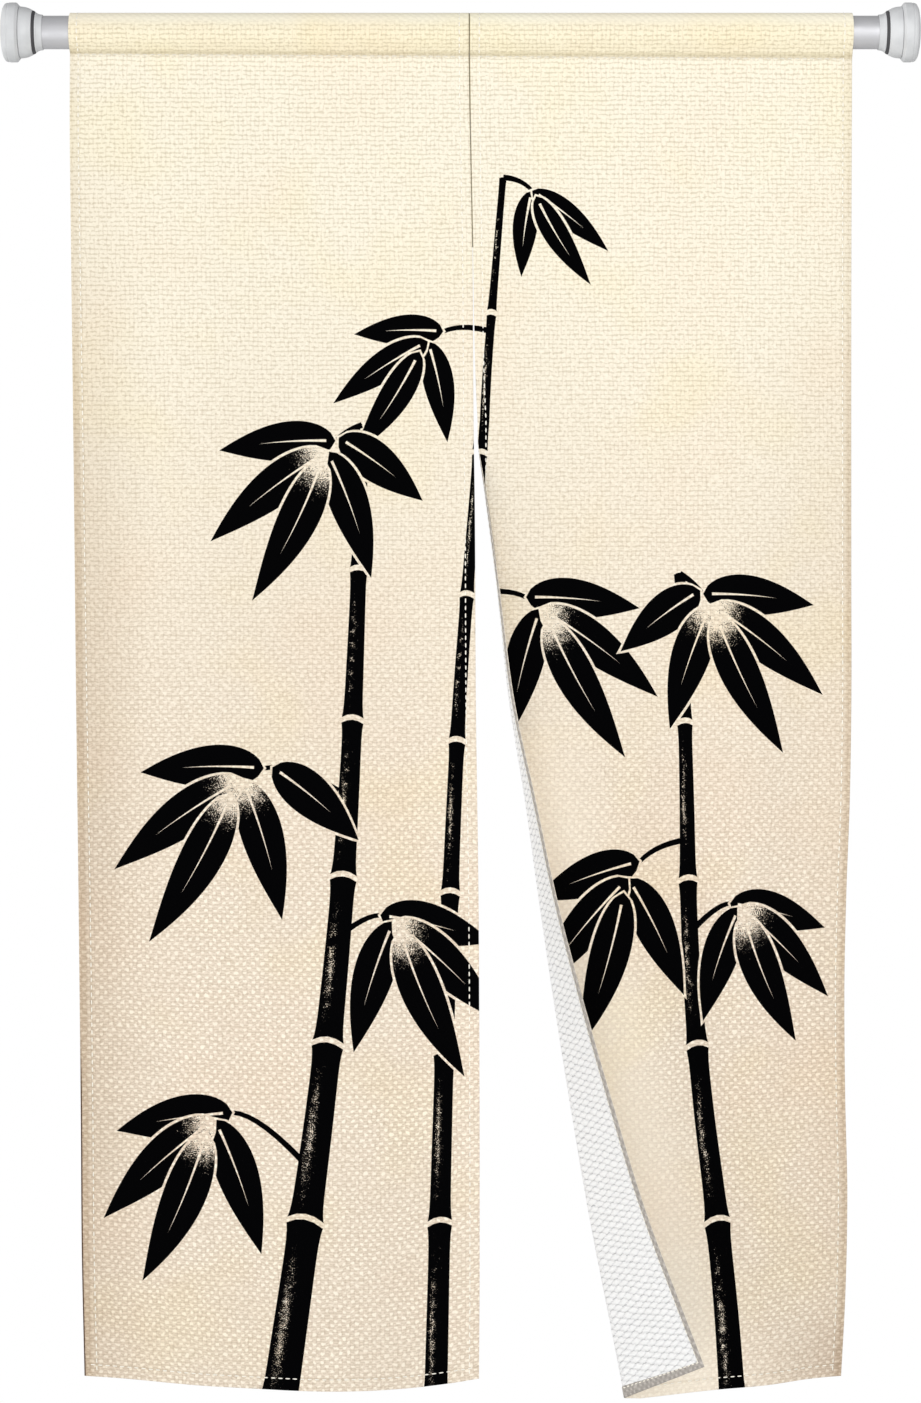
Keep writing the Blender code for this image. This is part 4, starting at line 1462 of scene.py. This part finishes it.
def make_stitching(panel, white_thread, pocket_thread):
    """A panel's rows of stitches: both sides, the lower hem and the pocket, each a piece of its own."""
    is_left = panel.side == "left"
    edge, inward = (panel.low, 1.0) if is_left else (panel.high, -1.0)
    left, right = panel.low + STITCH_END, panel.high - STITCH_END
    stations = (left, right) if is_left else (left, LEFT_WIDTH + TAPER_LENGTH, right)
    shares = bottom_share(panel, np.array(stations))
    corners = [(across, LENGTH - BOTTOM_STITCH * share) for across, share in zip(stations, shares)]
    allowance = -POCKET + SEAM_TURN - POCKET_STITCH
    rows = {
        "outer": [side_line(panel, edge, inward * SIDE_STITCH, outer_share)],
        "slit": [side_line(panel, LEFT_WIDTH, -inward * SLIT_STITCH, slit_share)],
        "hem": list(zip(corners, corners[1:])),
        "pocket": [((left, below), (right, below)) for below in (POCKET_STITCH, allowance)],
    }
    pieces = []
    for place, lines in rows.items():
        in_pocket = place == "pocket"
        sides = (False,) if in_pocket else (False, True)
        points, faces = [], []
        for on_back in sides:
            for start, end in lines:
                more_points, more_faces = stitch_row(panel, start, end, on_back)
                faces += [tuple(corner + len(points) for corner in face) for face in more_faces]
                points += more_points
        thread = pocket_thread if in_pocket else white_thread
        piece = make_object(f"{panel.side}_{place}_stitches", points, faces, [thread])
        turn_outward(piece)
        pieces.append(piece)
    return pieces


# Centre seam

SEAM_WIDTH = 0.0085          # each panel's allowance, pressed to its side behind the joint
SEAM_CLOTH = 0.0008
SEAM_ROWS = 48
SEAM_NEAR = 0.5 * CLOTH + HEM_LAYER + 0.0001     # the allowance lies this far behind the cloth's middle
SEAM_START = 0.0015
SEAM_CLEAR = 0.0010          # and this much farther back where the pocket's allowance hangs
JOINT_STEPS = 96
JOINT_STRIP_WIDTH = 0.00050       # width of the dark strip in the joint, painted shade of the crease between the panels
JOINT_DEPTH = 0.00040
JOINT_THINNING = 0.040       # from here on the strip sinks between the edges
JOINT_THINNED = 0.65         # and this share of its width is lost


def strip_piece(name, rows, material):
    """A closed body along rows that each have the same number of corners."""
    points = [corner for row in rows for corner in row]
    piece = make_object(name, points, skin(numbered([len(row) for row in rows])), [material])
    turn_outward(piece)
    return piece


def line_down(panel, across, belows):
    """Places down a panel at one distance across the flat cloth."""
    return cloth_point(panel, np.stack((np.full_like(belows, across), belows), axis=-1))


def joint_line(belows):
    """Middle line between the panels' slit edges."""
    return 0.5 * (line_down(LEFT, LEFT_WIDTH, belows) + line_down(RIGHT, LEFT_WIDTH, belows))


def make_allowance(material):
    """The joined allowances behind the panels, down to the head of the slit."""
    belows = np.linspace(SEAM_START, SEAM_LENGTH, SEAM_ROWS)
    left = line_down(LEFT, LEFT_WIDTH - SEAM_WIDTH, belows)
    right = line_down(RIGHT, LEFT_WIDTH + SEAM_WIDTH, belows)
    rows = []
    for below, *places in zip(belows, left, joint_line(belows), right):
        near = SEAM_NEAR + SEAM_CLEAR * (1.0 - float(smooth_step((below - SEAM_TURN) / SEAM_TURN)))
        front = [place + (0.0, near, 0.0) for place in places]
        rows.append([*front, *(place + (0.0, SEAM_CLOTH, 0.0) for place in reversed(front))])
    seam = strip_piece("centre_seam_allowance", rows, material)
    places = np.array([(corner[0], -corner[2], 0.0) for row in rows for corner in row])
    seam.data.attributes.new("flat", "FLOAT_VECTOR", "POINT").data.foreach_set("vector", places.ravel())
    return seam


def make_joint(material):
    """The dark strip in the joint: painted shade of the crease between the panels."""
    belows = np.linspace(-POCKET, SEAM_LENGTH, JOINT_STEPS)
    line = joint_line(belows)
    rows = []
    for place, direction, below in zip(line, np.gradient(line, axis=0), belows):
        out = 0.5 * JOINT_DEPTH * unit(np.cross((1.0, 0.0, 0.0), direction))
        width = JOINT_STRIP_WIDTH * (1.0 - JOINT_THINNED * smooth_step((below - JOINT_THINNING) / JOINT_THINNING))
        aside = np.array((0.5 * float(width), 0.0, 0.0))
        rows.append([place - aside - out, place + aside - out, place + aside + out, place - aside + out])
    return strip_piece("centre_joint_shade_strip", rows, material)


# Rod

ROUND_SIDES = 96
CORNER = 0.0006              # radius of the turned pieces' corners
CORNER_SHARE = 0.4           # a corner takes no more than this share of a side
CORNER_STEPS = 4

Turn = namedtuple("Turn", "along radius")
FOOT = (
    Turn(0.0004, 0.0), Turn(0.0004, 0.0180), Turn(0.0, 0.0188), Turn(0.0, 0.0215), Turn(0.0012, 0.0272),
    Turn(0.0034, 0.0309), Turn(0.0062, 0.0319), Turn(0.0070, 0.0313), Turn(0.0080, 0.0321),
    Turn(0.0158, 0.0321), Turn(0.0187, 0.0290), Turn(0.0187, 0.0),
)
CAP_BODY = (
    Turn(0.0190, 0.0), Turn(0.0190, 0.0280), Turn(0.0245, 0.0274), Turn(0.0280, 0.0265),
    Turn(0.0312, 0.0250), Turn(0.0330, 0.0242), Turn(0.0330, 0.0),
)
RING = (
    Turn(0.0333, 0.0), Turn(0.0333, 0.0237), Turn(0.0348, 0.0232), Turn(0.0359, 0.0224), Turn(0.0359, 0.0),
)
COLLAR = (
    Turn(0.0362, 0.0), Turn(0.0362, 0.0216), Turn(0.0374, 0.0212), Turn(0.0386, 0.0202),
    Turn(0.0410, 0.0194), Turn(0.0440, 0.0191), Turn(0.0440, TUBE_RADIUS + ROD_CLEARANCE),
    Turn(TUBE_LOW[0] - ROD_CLEARANCE, TUBE_RADIUS + ROD_CLEARANCE), Turn(TUBE_LOW[0] - ROD_CLEARANCE, 0.0),
)
TUBE = (
    Turn(TUBE_LOW[0], TUBE_RADIUS - TUBE_WALL), Turn(TUBE_LOW[0], TUBE_RADIUS),
    Turn(TUBE_HIGH[0], TUBE_RADIUS), Turn(TUBE_HIGH[0], TUBE_RADIUS - TUBE_WALL),
)


def rounded(outline, closed):
    """An outline whose corners off the axis are small arcs."""
    result = []
    for k, corner in enumerate(outline):
        before, after = outline[k - 1], outline[(k + 1) % len(outline)]
        if corner.radius == 0.0 or (not closed and k in (0, len(outline) - 1)):
            result.append(corner)
            continue
        start, end = (
            between(corner, beside, min(CORNER / math.dist(corner, beside), CORNER_SHARE))
            for beside in (before, after)
        )
        for step in range(CORNER_STEPS + 1):
            result.append(Turn(*curve_place(start, corner, end, step / CORNER_STEPS)))
    return result


def make_turned(name, outline, closed, mirrored, material, slot, node):
    """A turned piece on the rod's axis, in place of its solid."""
    points, lengths = [], []
    for turn in rounded(outline, closed):
        x = ROD_LENGTH - turn.along if mirrored else turn.along
        lengths.append(1 if turn.radius == 0.0 else ROUND_SIDES)
        for k in range(lengths[-1]):
            angle = 2.0 * math.pi * k / ROUND_SIDES
            points.append((x, turn.radius * math.cos(angle), turn.radius * math.sin(angle)))
    faces = skin(numbered(lengths), closed)
    piece = make_object(name, points, faces, [material])
    turn_outward(piece)
    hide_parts(node)
    return piece


def make_rod():
    """The tube and both caps."""
    paint, plastic, rubber = make_paint(), make_plastic(), make_rubber()
    make_turned("rod_tube_painted", TUBE, True, False, paint, "rod_paint", "rod_tube")
    for side, mirrored in (("left", False), ("right", True)):
        for name, outline, material, slot, node in (
            ("foot_pad", FOOT, plastic, "cap_plastic", "foot"),
            ("cap_cone", CAP_BODY, plastic, "cap_plastic", "cap_body"),
            ("cap_ring", RING, rubber, "ring_rubber", "ring"),
            ("cap_collar", COLLAR, plastic, "cap_plastic", "collar"),
        ):
            make_turned(f"{side}_{name}", outline, False, mirrored, material, slot, f"{side}_{node}")


# Stage

PHOTO_WIDTH = 921
PHOTO_HEIGHT = 1403
PIXEL = 0.001088             # metres for each pixel of the photo, in the rod's plane
ROD_LEFT_PIXEL = 2.6         # the left foot's face
ROD_AXIS_PIXEL = 32.5
CAMERA_DISTANCE = 4.0
SENSOR = 36.0


def make_camera():
    camera = bpy.data.objects.new("camera", bpy.data.cameras.new("camera"))
    bpy.context.scene.collection.objects.link(camera)
    camera.location = (
        (0.5 * PHOTO_WIDTH - ROD_LEFT_PIXEL) * PIXEL,
        -CAMERA_DISTANCE,
        (ROD_AXIS_PIXEL - 0.5 * PHOTO_HEIGHT) * PIXEL,
    )
    camera.rotation_euler = (0.5 * math.pi, 0.0, 0.0)
    camera.data.sensor_width = SENSOR
    camera.data.lens = SENSOR * CAMERA_DISTANCE / (PHOTO_HEIGHT * PIXEL)
    bpy.context.scene.camera = camera


LIGHT_AIM = (0.5, 0.0, -0.72)

# Soft lamps in front: place, diameter and power
Lamp = namedtuple("Lamp", "name place size power")
LAMPS = (
    Lamp("key", (1.8, -4.3, 0.3), 2.6, 72.0),
    Lamp("fill", (0.2, -3.9, -1.9), 2.6, 45.0),
)
SKY_LOW = 0.54               # strength of the soft light from below and around
SKY_HIGH = 0.26              # and from straight above
SKY_LEFT = 0.71              # added from the left
SKY_HEIGHTS = (0.3, 1.0)     # it changes over these heights
SKY_SIDES = (-0.1, -0.9)     # and these places sideways
FLOOR_HEIGHT = -2.0
FLOOR_RADIUS = 2.4
FLOOR_SIDES = 128
FLOOR_CLOUDS = 1.5


def make_lamps():
    for lamp in LAMPS:
        light = bpy.data.lights.new(lamp.name, "AREA")
        light.shape = "DISK"
        light.size = lamp.size
        light.energy = lamp.power
        holder = bpy.data.objects.new(lamp.name, light)
        bpy.context.scene.collection.objects.link(holder)
        holder.location = lamp.place
        aim = Vector(LIGHT_AIM) - Vector(lamp.place)
        holder.rotation_euler = aim.to_track_quat("-Z", "Y").to_euler()


def make_world():
    """Soft white light from all round, a little dimmer from above, and a white ground in the picture."""
    world = bpy.data.worlds.new("studio")
    bpy.context.scene.world = world
    graph = Graph(world, "Background")
    sideways, _, upward = graph.coordinates("Generated").parts()
    light = upward.ramp(*SKY_HEIGHTS, SKY_LOW, SKY_HIGH) + sideways.ramp(*SKY_SIDES, 0.0, SKY_LEFT)
    in_picture = graph.node("ShaderNodeLightPath", "Is Camera Ray", {})
    strength = graph.node("ShaderNodeMix", 0, {}, Factor=in_picture, A=light, B=1.0)
    graph.finish(Color=(1.0, 1.0, 1.0), Strength=strength)


def make_floor():
    graph = new_material("floor")
    tone = graph.coordinates().noise(FLOOR_CLOUDS)
    material = graph.finish(Base_Color=tone.mix(FLOOR_LOW, FLOOR_HIGH), Roughness=0.7)
    bpy.ops.mesh.primitive_circle_add(
        vertices=FLOOR_SIDES, radius=FLOOR_RADIUS, fill_type="NGON",
        location=(0.5 * ROD_LENGTH, 0.0, FLOOR_HEIGHT),
    )
    floor = bpy.context.object
    floor.name = "floor"
    floor.data.materials.append(material)


# Curtain

def make_curtain():
    """Both panels with their stitching, and the seam that joins them."""
    ground, ink, back, edge = make_ground(), make_ink(), make_back(), make_edge()
    white_thread = make_thread("white_thread", STITCH_LOW, STITCH_HIGH)
    pocket_thread = make_thread("pocket_thread", POCKET_LOW, POCKET_HIGH)
    shapes = print_shapes()
    seam = [make_allowance(back), make_joint(make_joint_shade_strip())]
    for panel in (LEFT, RIGHT):
        sheet = make_sheet(panel, shapes, [ground, ink, back, edge])
        stitches = make_stitching(panel, white_thread, pocket_thread)
        flat = (panel.high - panel.low, LENGTH + POCKET)


make_camera()
make_lamps()
make_world()
make_floor()
make_rod()
make_curtain()
bpy.context.scene.view_settings.view_transform = "Standard"
